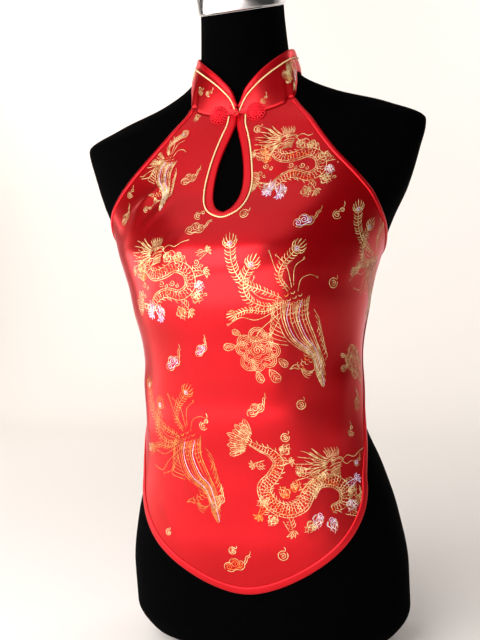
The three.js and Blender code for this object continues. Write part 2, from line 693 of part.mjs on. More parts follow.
// The whole object
function build() {
  const group = new THREE.Group();
  const patch = panelPatch();
  const cells = panelCells(patch);
  const trianglesOf = (list) => list.map((cell) => cell.triangle);
  const onCloth = clothThickness + seamGap;
  const onBand = onCloth + bindingThickness;
  group.add(piece("form_torso", dressForm(), blackJersey));
  group.add(piece("neck_cap", neckCap(), chrome));
  group.add(piece("front_panel", wall(patch, trianglesOf(cells), 0, clothThickness), redBrocade));

  const keyholeBand = cells.filter(isKeyholeBand);
  group.add(piece("keyhole_binding", wall(patch, trianglesOf(keyholeBand), onCloth, onBand), redSatin));
  const keyholeGrid = patch.grid.filter(({ row }) => row <= lastKeyholeRow);
  const bottom = patch.grid[lastKeyholeRow + 1].right[0];
  const outerLine = [
    ...keyholeGrid.map(({ right }) => right[1]), bottom, ...keyholeGrid.map(({ left }) => left[1]).reverse(),
  ];
  const innerLine = [
    ...keyholeGrid.map(({ right }) => right[0]), keyholeGrid[lastKeyholeRow].right[0],
    ...keyholeGrid.map(({ left }) => left[0]).reverse(),
  ];
  const pipingStandoff = onCloth + pipingRadius;
  group.add(piece("keyhole_piping", piping(patch, outerLine, innerLine, pipingStandoff), goldCord));

  const edgeBand = cells.filter(isEdgeBand);
  for (const half of ["left", "right"]) {
    const armhole = edgeBand.filter((cell) => cell.row < cornerRow && cell.half !== half);
    group.add(piece(`armhole_binding_${half}`, wall(patch, trianglesOf(armhole), onCloth, onBand), redSatin));
  }
  const hem = edgeBand.filter((cell) => cell.row > cornerRow);
  group.add(piece("hem_binding", wall(patch, trianglesOf(hem), onCloth, onBand), redSatin));

  const neckPatch = collarPatch();
  const neckCells = collarCells(neckPatch);
  group.add(piece("collar", wall(neckPatch, trianglesOf(neckCells), 0, clothThickness), redBrocade));
  const topBand = neckCells.filter((cell) => cell.row === collarRowCount - 2);
  group.add(piece("collar_binding", wall(neckPatch, trianglesOf(topBand), onCloth, onBand), redSatin));
  const lineAt = (row) => Array.from({ length: neckPatch.columns }, (unused, i) => i * collarRowCount + row);
  const collarPiping = piping(neckPatch, lineAt(2), lineAt(3), pipingStandoff);
  group.add(piece("collar_piping", collarPiping, goldCord));

  for (const [side, across] of Object.entries(flowerPlaces)) {
    group.add(piece(`frog_flower_${side}`, frogFlower(across), redCord));
  }
  group.add(piece("frog_loop", frogLink(flowerPlaces.left), redCord));
  group.add(piece("frog_stem", frogLink(flowerPlaces.right), redCord));
  group.add(piece("frog_button", frogButton(), redCord));

  group.add(piece("tie_left", tieStrap(1), redSatin));
  group.add(piece("tie_right", tieStrap(-1), redSatin));
  group.add(piece("tie_knot", tieKnot(), redSatin));
  group.add(piece("tie_end_left", tieTail(1, tailLengths.left), redSatin));
  group.add(piece("tie_end_right", tieTail(-1, tailLengths.right), redSatin));
  return group;
}

export default build();
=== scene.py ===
# A red brocade halter top on a black dress form: fine cloth, bindings, cords, figures and finishes.
# Shapes are worked out in millimetres and turned to metres when a mesh is made.
import math

import bpy
from mathutils import Matrix, Vector
import numpy as np


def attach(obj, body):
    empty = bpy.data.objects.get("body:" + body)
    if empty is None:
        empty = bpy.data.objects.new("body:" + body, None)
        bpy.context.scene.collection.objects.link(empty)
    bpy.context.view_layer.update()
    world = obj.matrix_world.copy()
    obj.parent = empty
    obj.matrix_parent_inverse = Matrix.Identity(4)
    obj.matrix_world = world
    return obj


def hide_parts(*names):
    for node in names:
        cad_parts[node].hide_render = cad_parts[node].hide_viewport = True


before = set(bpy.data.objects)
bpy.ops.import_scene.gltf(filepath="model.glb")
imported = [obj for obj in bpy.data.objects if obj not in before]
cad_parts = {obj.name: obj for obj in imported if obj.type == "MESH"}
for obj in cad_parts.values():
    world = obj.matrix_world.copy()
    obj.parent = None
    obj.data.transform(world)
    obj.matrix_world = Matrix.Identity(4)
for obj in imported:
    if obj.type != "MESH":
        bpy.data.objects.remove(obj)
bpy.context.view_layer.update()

MM = 0.001

# Camera: turned round the form from its front, distance, height, aim and roll
CAMERA_AZIMUTH = 0.28
CAMERA_DISTANCE = 0.940
CAMERA_HEIGHT = 0.405
CAMERA_PITCH = -0.03
CAMERA_ROLL = 0.047
CAMERA_SIDE = -0.0205
FOCAL_PIXELS = 800
PICTURE_HEIGHT = 640
SENSOR_MM = 36

# Cloth sizes, as in the solids
CLOTH_THICKNESS = 1.2
SEAM_GAP = 0.35
INNER_LIFT = 0.1
PIPING_RADIUS = 0.8
PIPING_LIFT = CLOTH_THICKNESS + PIPING_RADIUS * 0.8
HALF_COLUMNS = 14
HEM_ROUNDNESS = 1.8
FULL_CURL = 80
FINENESS = 4
LAST_KEYHOLE_ROW = 10
CORNER_ROW = 16


def table(names, rows):
    """Named columns from a short table, a row for each section."""
    columns = np.array(rows, dtype=float).T
    return dict(zip(names.split(), columns))


FORM_SECTIONS = table("height width front back corner", [
    (0, 102, 52, 68, 2.2), (5, 118, 63, 81, 2.2), (16, 145, 79, 101, 2.2), (45, 163, 90, 116, 2.2),
    (90, 163, 100, 121, 2.2), (150, 154, 108, 116, 2.2), (205, 138, 105, 104, 2.2),
    (245, 122, 101, 90, 2.2), (285, 112, 101, 79, 2.2), (320, 113, 110, 76, 2.25),
    (355, 119, 126, 78, 2.3), (400, 131, 146, 87, 2.4), (425, 138, 149, 92, 2.4),
    (450, 147, 144, 97, 2.4), (485, 162, 121, 100, 2.3), (520, 180, 93, 100, 2.3),
    (560, 194, 71, 95, 2.3), (590, 202, 58, 86, 2.2), (612, 163, 50, 80, 1.8),
    (632, 105, 47, 71, 1.7), (650, 70, 47, 61, 1.8), (666, 54, 48, 52, 2), (700, 50, 54, 43, 2),
    (740, 48, 61, 36, 2), (770, 48, 66, 31, 2),
])

# How far the cloth stands off the form at the middle, obliquely and at the side
OBLIQUE_AZIMUTH = 60
SIDE_AZIMUTH = 95
EASE_ROWS = table("height middle oblique side", [
    (85, 1.6, 1.6, 1.6), (150, 1.2, 2, 1.6), (205, 8, 7, 3), (245, 17, 16, 6), (285, 23, 21, 8),
    (320, 20, 17, 6), (355, 12, 10, 3), (400, 3, 4, 1.5), (425, 0.8, 1.6, 1), (485, 2, 1.6, 1),
    (590, 1.8, 1.6, 1.6), (660, 2, 1.8, 1.6),
])

# Rows of the front panel: height at the middle, height and azimuth of the cut edge, binding width
PANEL_ROWS = table("middle edge reach band", [
    (603, 618.5, 53, 4.5), (592, 607, 54.3, 4.5), (580, 594.5, 55.3, 4.5), (566, 581, 56.6, 4.5),
    (552, 568, 57.9, 4.5), (538, 555, 59.3, 4.5), (524, 542, 61, 4.5), (512, 530, 62.7, 4.5),
    (501, 519, 64.4, 4.5), (494.5, 509, 66.2, 4.5), (489, 500, 68, 4.5), (486.5, 491, 70.5, 4.5),
    (474, 481, 75, 4.5), (460, 470, 82, 4.5), (446, 460, 91, 4.5), (432, 451, 100, 4.5),
    (418, 441, 107, 5), (402, 417, 107.5, 5.5), (380, 397, 104, 5.5), (356, 376, 99.5, 5.5),
    (332, 354, 94, 5.5), (307, 332, 88, 5.5), (281, 311, 82.5, 5.5), (254, 291, 77.8, 5.5),
    (226, 272, 74, 5.5), (197, 254, 71, 6), (167, 238, 69.2, 6.5), (136, 226, 67.5, 7),
    (112, 218, 66.5, 7.5), (96, 212, 65.7, 7.5), (88.5, 205, 65, 7.5),
])
LAST_ROW = len(PANEL_ROWS["middle"]) - 1

# The keyhole: half width and height of its own edge and of its binding's outer edge
KEYHOLE_ROWS = table("inner inner_height outer outer_height", [
    (0.7, 603, 8, 603), (1.2, 592, 9.2, 592), (4.5, 580, 13.2, 580), (9, 566, 17, 566),
    (12.5, 552, 20, 552), (14.8, 538, 22.3, 538), (15.8, 524, 23.8, 524), (15.2, 512, 23.2, 511),
    (12.8, 503, 20.6, 501), (8.2, 495.5, 15.8, 493.5), (0, 491, 8.6, 488.5),
])
KEYHOLE_BOTTOM = 486.5

# Creases: azimuth and height of both ends, depth and half width
CREASE_RADIUS = 110
CREASE_FADE = 0.35
CREASE_OVERRUN = 0.3
MAIN_CREASES = [
    (-48, 530, -46, 470, 2.2, 9), (-12, 478, -30, 400, 2.0, 12), (30, 590, 18, 560, 1.6, 7),
    (44, 575, 30, 530, 1.8, 9), (24, 375, 22, 300, 2.6, 8), (-24, 250, -20, 205, 1.8, 9),
    (62, 470, 50, 410, 1.8, 9), (-62, 330, -52, 240, 2.4, 12), (56, 330, 50, 240, 2.4, 12),
]
SMALL_CREASES = [
    (-40, 545, -50, 500, 0.9, 4), (-33, 520, -42, 470, 0.8, 4.5), (-22, 470, -36, 425, 0.9, 4),
    (20, 592, 12, 572, 0.9, 3.5), (34, 588, 24, 566, 0.8, 3.5), (48, 560, 36, 520, 0.9, 4.5),
    (60, 505, 48, 470, 0.7, 4), (29, 372, 27, 325, 1.0, 4), (19, 360, 18, 310, 0.8, 3.5),
    (-16, 270, -14, 215, 0.7, 5), (-30, 235, -26, 190, 0.9, 4), (10, 180, 14, 125, 0.6, 6),
    (36, 200, 34, 150, 0.8, 5), (-46, 190, -40, 150, 0.7, 5), (-5, 420, -4, 350, 0.6, 8),
]

# The top is worn a little turned towards the wearer's left, from a height up to the collar
WORN_TURN = 4
TURNED_FROM = 540
TURNED_OVER = 100

# The collar: height of its seam and of its top edge round the neck
COLLAR_ROWS = table("azimuth base top", [
    (0, 603, 611), (4, 603.1, 622), (9, 603.4, 632), (18, 604.3, 642), (32, 607.3, 654.5),
    (53, 618.9, 669), (60, 635, 673), (67, 647.5, 677), (76, 654.5, 680.5), (100, 655.5, 686),
    (130, 657.5, 690), (180, 660, 693),
])
COLLAR_CLEARANCE = 3
COLLAR_SHIFT = 1.8
COLLAR_BAND = 9.5
LARGEST_BAND_SHARE = 0.8


def monotone(x, y):
    """A smooth curve through the rows of a table, with no overshoot."""
    x = np.asarray(x, dtype=float)
    y = np.asarray(y, dtype=float)
    span = np.diff(x).reshape([-1] + [1] * (y.ndim - 1))
    slope = np.diff(y, axis=0) / span
    tangent = np.zeros_like(y)
    tangent[0] = slope[0]
    tangent[-1] = slope[-1]
    product = slope[:-1] * slope[1:]
    total = slope[:-1] + slope[1:]
    safe = np.where(product > 0, total, 1)
    tangent[1:-1] = np.where(product > 0, 2 * product / safe, 0)

    def read(at):
        at = np.asarray(at, dtype=float)
        i = np.clip(np.searchsorted(x, at, side="left") - 1, 0, len(x) - 2)
        width = x[i + 1] - x[i]
        t = np.clip((at - x[i]) / width, 0, 1)
        extra = [1] * (y.ndim - 1)
        t = t.reshape(t.shape + tuple(extra))
        width = width.reshape(width.shape + tuple(extra))
        level = y[i] * (1 + 2 * t) * (1 - t) ** 2 + y[i + 1] * t * t * (3 - 2 * t)
        return level + width * t * (1 - t) * (tangent[i] * (1 - t) - tangent[i + 1] * t)

    return read


def columns_of(rows, along):
    return {name: monotone(along, column) for name, column in rows.items()}


form = columns_of(FORM_SECTIONS, FORM_SECTIONS["height"])
ease = columns_of(EASE_ROWS, EASE_ROWS["height"])
panel = columns_of(PANEL_ROWS, range(LAST_ROW + 1))
collar = columns_of(COLLAR_ROWS, COLLAR_ROWS["azimuth"])


def smooth_step(value):
    t = np.clip(value, 0, 1)
    return t * t * (3 - 2 * t)


def mix(a, b, share):
    return a + (b - a) * share


def unit(vectors):
    return vectors / np.linalg.norm(vectors, axis=-1, keepdims=True)


def form_radius(azimuth, height):
    """Distance of the form's surface from its axis."""
    angle = np.radians(azimuth)
    depth = np.where(np.cos(angle) > 0, form["front"](height), form["back"](height))
    corner = form["corner"](height)
    across = np.abs(np.sin(angle)) / form["width"](height)
    along = np.abs(np.cos(angle)) / depth
    return (across ** corner + along ** corner) ** (-1 / corner)


def place(azimuth, height, radius):
    angle = np.radians(azimuth)
    parts = np.broadcast_arrays(radius * np.sin(angle), -radius * np.cos(angle), height)
    return np.stack(parts, axis=-1).astype(float)


def ease_at(azimuth, height):
    turn = np.abs(azimuth)
    oblique = ease["oblique"](height)
    front = mix(ease["middle"](height), oblique, smooth_step(turn / OBLIQUE_AZIMUTH))
    share = smooth_step((turn - OBLIQUE_AZIMUTH) / (SIDE_AZIMUTH - OBLIQUE_AZIMUTH))
    return np.where(turn < OBLIQUE_AZIMUTH, front, mix(oblique, ease["side"](height), share))


def crease_at(azimuth, height, creases):
    depth = np.zeros(np.broadcast(azimuth, height).shape)
    for from_azimuth, from_height, to_azimuth, to_height, deep, spread in creases:
        run_x = math.radians(to_azimuth - from_azimuth) * CREASE_RADIUS
        run_z = to_height - from_height
        x = np.radians(azimuth - from_azimuth) * CREASE_RADIUS
        z = height - from_height
        t = (x * run_x + z * run_z) / (run_x ** 2 + run_z ** 2)
        off = np.hypot(x - t * run_x, z - t * run_z) / spread
        fade = smooth_step(t / CREASE_FADE + CREASE_OVERRUN)
        fade = fade * smooth_step((1 - t) / CREASE_FADE + CREASE_OVERRUN)
        depth = depth + deep * fade * np.exp(-off * off)
    return depth


def worn_azimuth(azimuth, height):
    """Where a place of the cloth comes to lie on the form."""
    return azimuth + WORN_TURN * smooth_step((height - TURNED_FROM) / TURNED_OVER)


def cloth_base(azimuth, height):
    worn = worn_azimuth(azimuth, height)
    return place(worn, height, form_radius(worn, height) + ease_at(worn, height))


def cloth_normal(azimuth, height):
    along_azimuth = cloth_base(azimuth + 0.1, height) - cloth_base(azimuth - 0.1, height)
    along_height = cloth_base(azimuth, height + 0.5) - cloth_base(azimuth, height - 0.5)
    return unit(np.cross(along_azimuth, along_height))


def cloth_at(azimuth, height, lift):
    """A place on the worn cloth, lifted off its inner face."""
    azimuth = np.asarray(azimuth, dtype=float)
    height = np.asarray(height, dtype=float)
    creases = crease_at(azimuth, height, MAIN_CREASES + SMALL_CREASES)
    shift = (creases + lift)[..., None] * cloth_normal(azimuth, height)
    return cloth_base(azimuth, height) + shift


# Colours and materials
def linear(code):
    """An sRGB hex colour as the linear values that a shader takes."""
    values = [int(code[i:i + 2], 16) / 255 for i in (0, 2, 4)]
    turned = [v / 12.92 if v <= 0.04045 else ((v + 0.055) / 1.055) ** 2.4 for v in values]
    return (*turned, 1.0)


def add_node(tree, kind, settings=None, inputs=None):
    """One node with its settings and its inputs: values, or the sockets that feed them."""
    node = tree.nodes.new(kind)
    for name, value in (settings or {}).items():
        setattr(node, name, value)
    for name, value in (inputs or {}).items():
        if isinstance(value, bpy.types.NodeSocket):
            tree.links.new(value, node.inputs[name])
        else:
            node.inputs[name].default_value = value
    return node


def new_material(name):
    """An empty node material with a Principled surface."""
    material = bpy.data.materials.new(name)
    material.use_nodes = True
    tree = material.node_tree
    shader = tree.nodes["Principled BSDF"]
    return material, tree, shader


def connect(tree, source, shader, name):
    tree.links.new(source, shader.inputs[name])


def set_values(shader, values):
    for name, value in values.items():
        shader.inputs[name].default_value = value


def add_bump(tree, shader, strength, distance, height):
    """A fine relief on a surface, from a pattern of heights."""
    bump = add_node(tree, "ShaderNodeBump", inputs={
        "Strength": strength, "Distance": distance, "Height": height,
    })
    connect(tree, bump.outputs["Normal"], shader, "Normal")


def noise(tree, where, scale, detail=2.0):
    node = add_node(tree, "ShaderNodeTexNoise", inputs={"Vector": where, "Scale": scale, "Detail": detail})
    return node.outputs["Fac"]


def bands(tree, direction, where, scale, distortion, more=None):
    """Parallel ridges across a pattern's places."""
    inputs = {"Vector": where, "Scale": scale, "Distortion": distortion, **(more or {})}
    node = add_node(tree, "ShaderNodeTexWave", {"wave_type": "BANDS", "bands_direction": direction}, inputs)
    return node.outputs["Fac"]


def blend(tree, share, first, second):
    return add_node(tree, "ShaderNodeMix", {"data_type": "FLOAT"}, {0: share, 2: first, 3: second}).outputs[0]


def map_range(tree, value, low, high):
    node = add_node(tree, "ShaderNodeMapRange", inputs={"Value": value, "To Min": low, "To Max": high})
    return node.outputs["Result"]


def stretched(tree, where, scale):
    return add_node(tree, "ShaderNodeMapping", inputs={"Vector": where, "Scale": scale}).outputs["Vector"]


def object_places(tree):
    return add_node(tree, "ShaderNodeTexCoord").outputs["Object"]


def uv_places(tree, name):
    return add_node(tree, "ShaderNodeUVMap", {"uv_map": name}).outputs["UV"]


def ramp(tree, factor, stops):
    """A colour ramp from a list of positions and hex colours."""
    node = add_node(tree, "ShaderNodeValToRGB", inputs={"Fac": factor})
    elements = node.color_ramp.elements
    while len(elements) < len(stops):
        elements.new(0.5)
    for element, (position, code) in zip(elements, stops):
        element.position = position
        element.color = linear(code)
    return node.outputs["Color"]


# Threads are 0.3 mm apart on the real cloth. They are drawn 0.7 mm apart, so that the render shows them.
THREAD_SPACING = 0.0007
SLUB_SCALE = (900, 60, 1)
GLOSS_SPREAD = 0.015


def satin(name, shade, light, roughness, tint):
    """Silk-like satin: long floating warp threads that give a broad, directional shine."""
    material, tree, shader = new_material(name)
    where = uv_places(tree, "cloth")
    warp_scale = 1 / THREAD_SPACING / 20 * math.pi
    warp = bands(tree, "X", where, warp_scale, 0.6, {"Detail": 1.0, "Detail Scale": 3.0})
    slubs = noise(tree, stretched(tree, where, SLUB_SCALE), 1.0)
    patches = blend(tree, 0.8, slubs, noise(tree, where, 9.0))
    connect(tree, ramp(tree, patches, [(0.3, shade), (0.7, light)]), shader, "Base Color")
    gloss = map_range(tree, slubs, roughness - GLOSS_SPREAD, roughness + GLOSS_SPREAD)
    connect(tree, gloss, shader, "Roughness")
    add_bump(tree, shader, 0.02, 0.0002, blend(tree, 0.2, warp, slubs))
    tangent = add_node(tree, "ShaderNodeTangent", {"direction_type": "UV_MAP", "uv_map": "cloth"})
    connect(tree, tangent.outputs["Tangent"], shader, "Tangent")
    set_values(shader, {
        "Metallic": 0.72, "Anisotropic": 0.6, "Anisotropic Rotation": 0.25, "Coat Weight": 0.3,
        "Coat Roughness": 0.3, "Specular IOR Level": 0.5, "Specular Tint": linear(tint),
    })
    return material


def thread(name, shade, light, metallic, roughness):
    """Flat metal-wrapped or silk weft threads: a fine cross grain and a soft glint."""
    material, tree, shader = new_material(name)
    where = object_places(tree)
    grain = noise(tree, where, 1400.0, 1.0)
    patches = blend(tree, 0.5, grain, noise(tree, where, 160.0, 1.0))
    connect(tree, ramp(tree, patches, [(0.38, shade), (0.6, light)]), shader, "Base Color")
    add_bump(tree, shader, 0.4, 0.0001, grain)
    set_values(shader, {"Metallic": metallic, "Roughness": roughness})
    return material


def twisted_cord(name, shade, light, twist, roughness):
    """A thin cord of twisted strands: slanting grooves along its length, read from the cord's own UVs, and
    painted shade that darkens the colour in the grooves.
    """
    material, tree, shader = new_material(name)
    slant = bands(tree, "DIAGONAL", uv_places(tree, "cord"), twist, 0.3)
    # Painted shade: the colour runs from the shade colour down in the grooves to the light colour on the
    # crowns of the strands.
    connect(tree, ramp(tree, slant, [(0.1, shade), (0.7, light)]), shader, "Base Color")
    add_bump(tree, shader, 0.25, 0.0002, slant)
    set_values(shader, {"Roughness": roughness, "Specular IOR Level": 0.2})
    return material


def jersey():
    """Black stretch jersey over a hard shell: nearly no shine, a fine knit grain and a faint nap."""
    material, tree, shader = new_material("black_stretch_jersey")
    where = object_places(tree)
    ribs = bands(tree, "X", where, 130.0, 1.0)
    nap = noise(tree, where, 700.0)
    connect(tree, ramp(tree, nap, [(0.35, "010101"), (0.7, "030304")]), shader, "Base Color")
    add_bump(tree, shader, 0.35, 0.0003, blend(tree, 0.6, ribs, nap))
    set_values(shader, {"Roughness": 0.9, "Specular IOR Level": 0.01})
    return material


def polished_chrome():
    """Chrome plate on a spun cap: mirror-like, with faint turning marks."""
    material, tree, shader = new_material("polished_chrome")
    marks = noise(tree, stretched(tree, object_places(tree), (8, 8, 900)), 1.0)
    connect(tree, map_range(tree, marks, 0.08, 0.2), shader, "Roughness")
    set_values(shader, {"Base Color": linear("d9dadc"), "Metallic": 1.0})
    return material


def plaster(name, code):
    """Matt painted plaster or card: a very fine grain."""
    material, tree, shader = new_material(name)
    add_bump(tree, shader, 0.05, 0.001, noise(tree, object_places(tree), 60.0, 4.0))
    set_values(shader, {"Base Color": linear(code), "Roughness": 0.9})
    return material


red_brocade = satin("red_satin_brocade_ground", "a40006", "b8000c", 0.3, "ff7494")
red_satin = satin("red_satin_bias_strip", "b8040e", "cc0818", 0.32, "ff7494")
gold_thread = thread("gold_metal_thread", "9a7036", "eed69e", 0.4, 0.4)
# A darker copy of the gold thread: painted shade, standing in for the dim reflection that the gold threads
# give low on the panel's left.
shaded_gold_thread = thread("bronze_metal_thread", "8c4a18", "d08a44", 0.5, 0.4)
lilac_thread = thread("lilac_silk_thread", "a99ac8", "e9e2f6", 0.1, 0.45)
orange_thread = thread("orange_silk_thread", "d65a12", "f79a34", 0.2, 0.45)
gold_piping = twisted_cord("pale_gold_piping", "c89c5c", "f4dcae", 260.0, 0.45)
red_thread = twisted_cord("red_sewing_thread", "9c0410", "d81430", 900.0, 0.5)
red_cord = twisted_cord("red_satin_cord", "a00208", "f4102c", 320.0, 0.5)
black_jersey = jersey()
chrome = polished_chrome()


# Meshes
def link(name, data):
    thing = bpy.data.objects.new(name, data)
    bpy.context.scene.collection.objects.link(thing)
    return thing


def new_object(name, points, faces, material):
    """A mesh object at the origin from points in millimetres."""
    mesh = bpy.data.meshes.new(name)
    mesh.from_pydata((np.asarray(points) * MM).tolist(), [], [tuple(map(int, face)) for face in faces])
    mesh.polygons.foreach_set("use_smooth", [True] * len(mesh.polygons))
    mesh.materials.append(material)
    mesh.update()
    return link(name, mesh)


def set_uvs(thing, name, uvs):
    """Writes one UV pair for each vertex, in metres along the cloth or cord."""
    mesh = thing.data
    layer = mesh.uv_layers.new(name=name)
    order = np.empty(len(mesh.loops), dtype=int)
    mesh.loops.foreach_get("vertex_index", order)
    layer.data.foreach_set("uv", np.asarray(uvs)[order].ravel())


def shell(name, outer, inner, faces, flat, material):
    """A closed wall between two layers of the same grid, with one UV pair for each of its places."""
    count = len(outer)
    edges = {(face[k - 1], face[k]) for face in faces for k in range(len(face))}
    rim = [(b, a, a + count, b + count) for a, b in sorted(edges) if (b, a) not in edges]
    back = [tuple(index + count for index in reversed(face)) for face in faces]
    thing = new_object(name, np.vstack([outer, inner]), list(faces) + back + rim, material)
    set_uvs(thing, "cloth", np.vstack([flat, flat]) * MM)
    return thing


def grid_faces(rows, columns, closed=False):
    """Quads of a grid of points, row after row, facing out when columns run left to right, rows up."""
    faces = []
    for j in range(rows - 1):
        for i in range(columns if closed else columns - 1):
            a = j * columns + i
            b = j * columns + (i + 1) % columns
            faces.append((a, b, b + columns, a + columns))
    return faces


def closed_faces(rows, columns):
    """Rings of quads with a flat face on the first and the last ring."""
    faces = grid_faces(rows, columns, closed=True)
    faces.append(tuple(reversed(range(columns))))
    faces.append(tuple(range((rows - 1) * columns, rows * columns)))
    return faces


def length_along(path):
    steps = np.linalg.norm(np.diff(path, axis=0), axis=1)
    return np.concatenate([[0], np.cumsum(steps)])


def curve_through(points, steps):
    """A smooth curve through a few places, with the given number of steps between each two."""
    points = np.asarray(points, dtype=float)
    ends = np.vstack([2 * points[0] - points[1], points, 2 * points[-1] - points[-2]])
    parts = []
    for i in range(1, len(ends) - 2):
        t = np.arange(steps)[:, None] / steps
        a, b, c, d = ends[i - 1:i + 3]
        parts.append(0.5 * (2 * b + (c - a) * t + (2 * a - 5 * b + 4 * c - d) * t ** 2
                            + (3 * b - a - 3 * c + d) * t ** 3))
    parts.append(points[-1:])
    return np.vstack(parts)


def tangents(path, closed=False):
    if closed:
        return unit(np.roll(path, -1, axis=0) - np.roll(path, 1, axis=0))
    run = np.empty_like(path)
    run[1:-1] = path[2:] - path[:-2]
    run[0] = path[1] - path[0]
    run[-1] = path[-1] - path[-2]
    return unit(run)


def sweep(name, path, sides, outs, sections, material, uv_name, closed=False):
    """A solid from a cross-section carried along a path: sections hold (side, out) pairs in millimetres."""
    sections = np.broadcast_to(sections, (len(path),) + np.asarray(sections).shape[-2:])
    points = path[:, None] + sides[:, None] * sections[..., :1] + outs[:, None] * sections[..., 1:]
    count = sections.shape[1]
    if closed:
        faces = grid_faces(len(path), count, closed=True)
        last = (len(path) - 1) * count
        for i in range(count):
            after = (i + 1) % count
            faces.append((last + i, last + after, after, i))
    else:
        faces = closed_faces(len(path), count)
    thing = new_object(name, points.reshape(-1, 3), faces, material)
    along = length_along(path)
    around = np.linspace(0, 1, count, endpoint=False)
    girth = np.linalg.norm(np.diff(sections[0], axis=0), axis=1).sum()
    uvs = np.stack(np.broadcast_arrays(around[None, :] * girth * MM, along[:, None] * MM), axis=-1)
    set_uvs(thing, uv_name, uvs.reshape(-1, 2))
    return thing


def ring_section(radius, sides):
    angle = np.arange(sides) / sides * 2 * math.pi
    return np.stack([np.cos(angle), np.sin(angle)], axis=1) * radius


def tube(name, path, radius, material, sides=10, closed=False):
    """A round cord along a path."""
    path = np.asarray(path, dtype=float)
    along = tangents(path, closed)
    side = np.cross(along[0], (0.3, -1, 0.2))
    frames = []
    for direction in along:
        side = side - direction * np.dot(side, direction)
        side = side / np.linalg.norm(side)
        frames.append(side)
    frames = np.array(frames)
    outs = np.cross(along, frames)
    section = np.broadcast_to(ring_section(radius, sides), (len(path), sides, 2))
    return sweep(name, path, frames, outs, section, material, "cord", closed)


def vertex_places(mesh):
    places = np.empty(len(mesh.vertices) * 3)
    mesh.vertices.foreach_get("co", places)
    return places.reshape(-1, 3)


def merge(name, things):
    """One piece from several meshes of one material, with their UVs."""
    points, faces, uvs = [], [], []
    for thing in things:
        mesh = thing.data
        order = np.empty(len(mesh.loops), dtype=int)
        mesh.loops.foreach_get("vertex_index", order)
        flat = np.empty(len(mesh.loops) * 2)
        mesh.uv_layers[0].data.foreach_get("uv", flat)
        own = np.zeros((len(mesh.vertices), 2))
        own[order] = flat.reshape(-1, 2)
        count = sum(len(part) for part in points)
        faces.extend(tuple(index + count for index in face.vertices) for face in mesh.polygons)
        points.append(vertex_places(mesh) / MM)
        uvs.append(own)
    layer = things[0].data.uv_layers[0].name
    whole = new_object(name, np.vstack(points), faces, things[0].data.materials[0])
    set_uvs(whole, layer, np.vstack(uvs))
    for thing in things:
        bpy.data.objects.remove(thing, do_unlink=True)
    return whole


# Places of the front panel
def inset_edge(row):
    step = 0.25
    azimuth = float(panel["reach"](row))
    height = float(panel["edge"](row))
    radius = float(form_radius(azimuth, height))
    run_x = math.radians(float(panel["reach"](row + step) - panel["reach"](row - step))) * radius
    run_z = float(panel["edge"](row + step) - panel["edge"](row - step))
    length = math.hypot(run_x, run_z)
    band = float(panel["band"](row))
    return azimuth + math.degrees(run_z / length * band / radius), height - run_x / length * band


def panel_row(row):
    """Azimuths and heights of one row of the panel, from the middle to the cut edge."""
    is_hem = row == LAST_ROW
    edge = (float(panel["reach"](row)), float(panel["edge"](row)))
    end = edge if is_hem else inset_edge(row)
    cells = HALF_COLUMNS if is_hem else HALF_COLUMNS - 1
    start = (0.0, float(panel["middle"](row)))
    places = []
    first = 0
    if row <= LAST_KEYHOLE_ROW:
        keyhole = {name: column[row] for name, column in KEYHOLE_ROWS.items()}
        radius = float(form_radius(0, keyhole["inner_height"]))
        places.append((math.degrees(keyhole["inner"] / radius), keyhole["inner_height"]))
        start = (math.degrees(keyhole["outer"] / radius), keyhole["outer_height"])
        first = 1
    curl = min(1, (end[1] - start[1]) / FULL_CURL)
    for i in range(first, cells + 1):
        even = (i - first) / (cells - first)
        share = mix(even, math.sin(even * math.pi / 2) ** (2 / HEM_ROUNDNESS), curl)
        drop = max(0, 1 - share ** HEM_ROUNDNESS) ** (1 / HEM_ROUNDNESS)
        places.append((mix(start[0], end[0], share), end[1] - (end[1] - start[1]) * drop))
    if not is_hem:
        places.append(edge)
    return places


def finer(grid, axis, times):
    """More rows or columns between those of a grid."""
    turned = np.moveaxis(grid, axis, 0)
    count = len(turned)
    read = monotone(range(count), turned)
    return np.moveaxis(read(np.linspace(0, count - 1, (count - 1) * times + 1)), 0, axis)


half_grid = np.array([panel_row(row) for row in range(LAST_ROW + 1)])
half_grid = finer(finer(half_grid, 0, FINENESS), 1, FINENESS)


def arc_table():
    """How far round the cloth each azimuth lies from the middle, at a row of heights."""
    heights = np.arange(80, 700, 10.0)
    azimuths = np.arange(0, 121, 1.5)
    points = cloth_base(azimuths[None, :], heights[:, None])
    steps = np.linalg.norm(np.diff(points, axis=1), axis=-1)
    lengths = np.concatenate([np.zeros((len(heights), 1)), np.cumsum(steps, axis=1)], axis=1)
    return heights, azimuths, lengths


ARC_HEIGHTS, ARC_AZIMUTHS, ARC_LENGTHS = arc_table()


def arc_rows(height):
    j = np.clip((height - ARC_HEIGHTS[0]) / (ARC_HEIGHTS[1] - ARC_HEIGHTS[0]), 0, len(ARC_HEIGHTS) - 1.001)
    low = j.astype(int)
    return mix(ARC_LENGTHS[low], ARC_LENGTHS[low + 1], (j - low)[..., None])


def across_of(azimuth, height):
    """Distance along the cloth from the middle, in millimetres."""
    rows = arc_rows(np.asarray(height, dtype=float))
    i = np.clip(np.abs(azimuth) / ARC_AZIMUTHS[1], 0, len(ARC_AZIMUTHS) - 1.001)
    low = i.astype(int)
    near = np.take_along_axis(rows, low[..., None], -1)[..., 0]
    far = np.take_along_axis(rows, low[..., None] + 1, -1)[..., 0]
    return np.sign(azimuth) * mix(near, far, i - low)


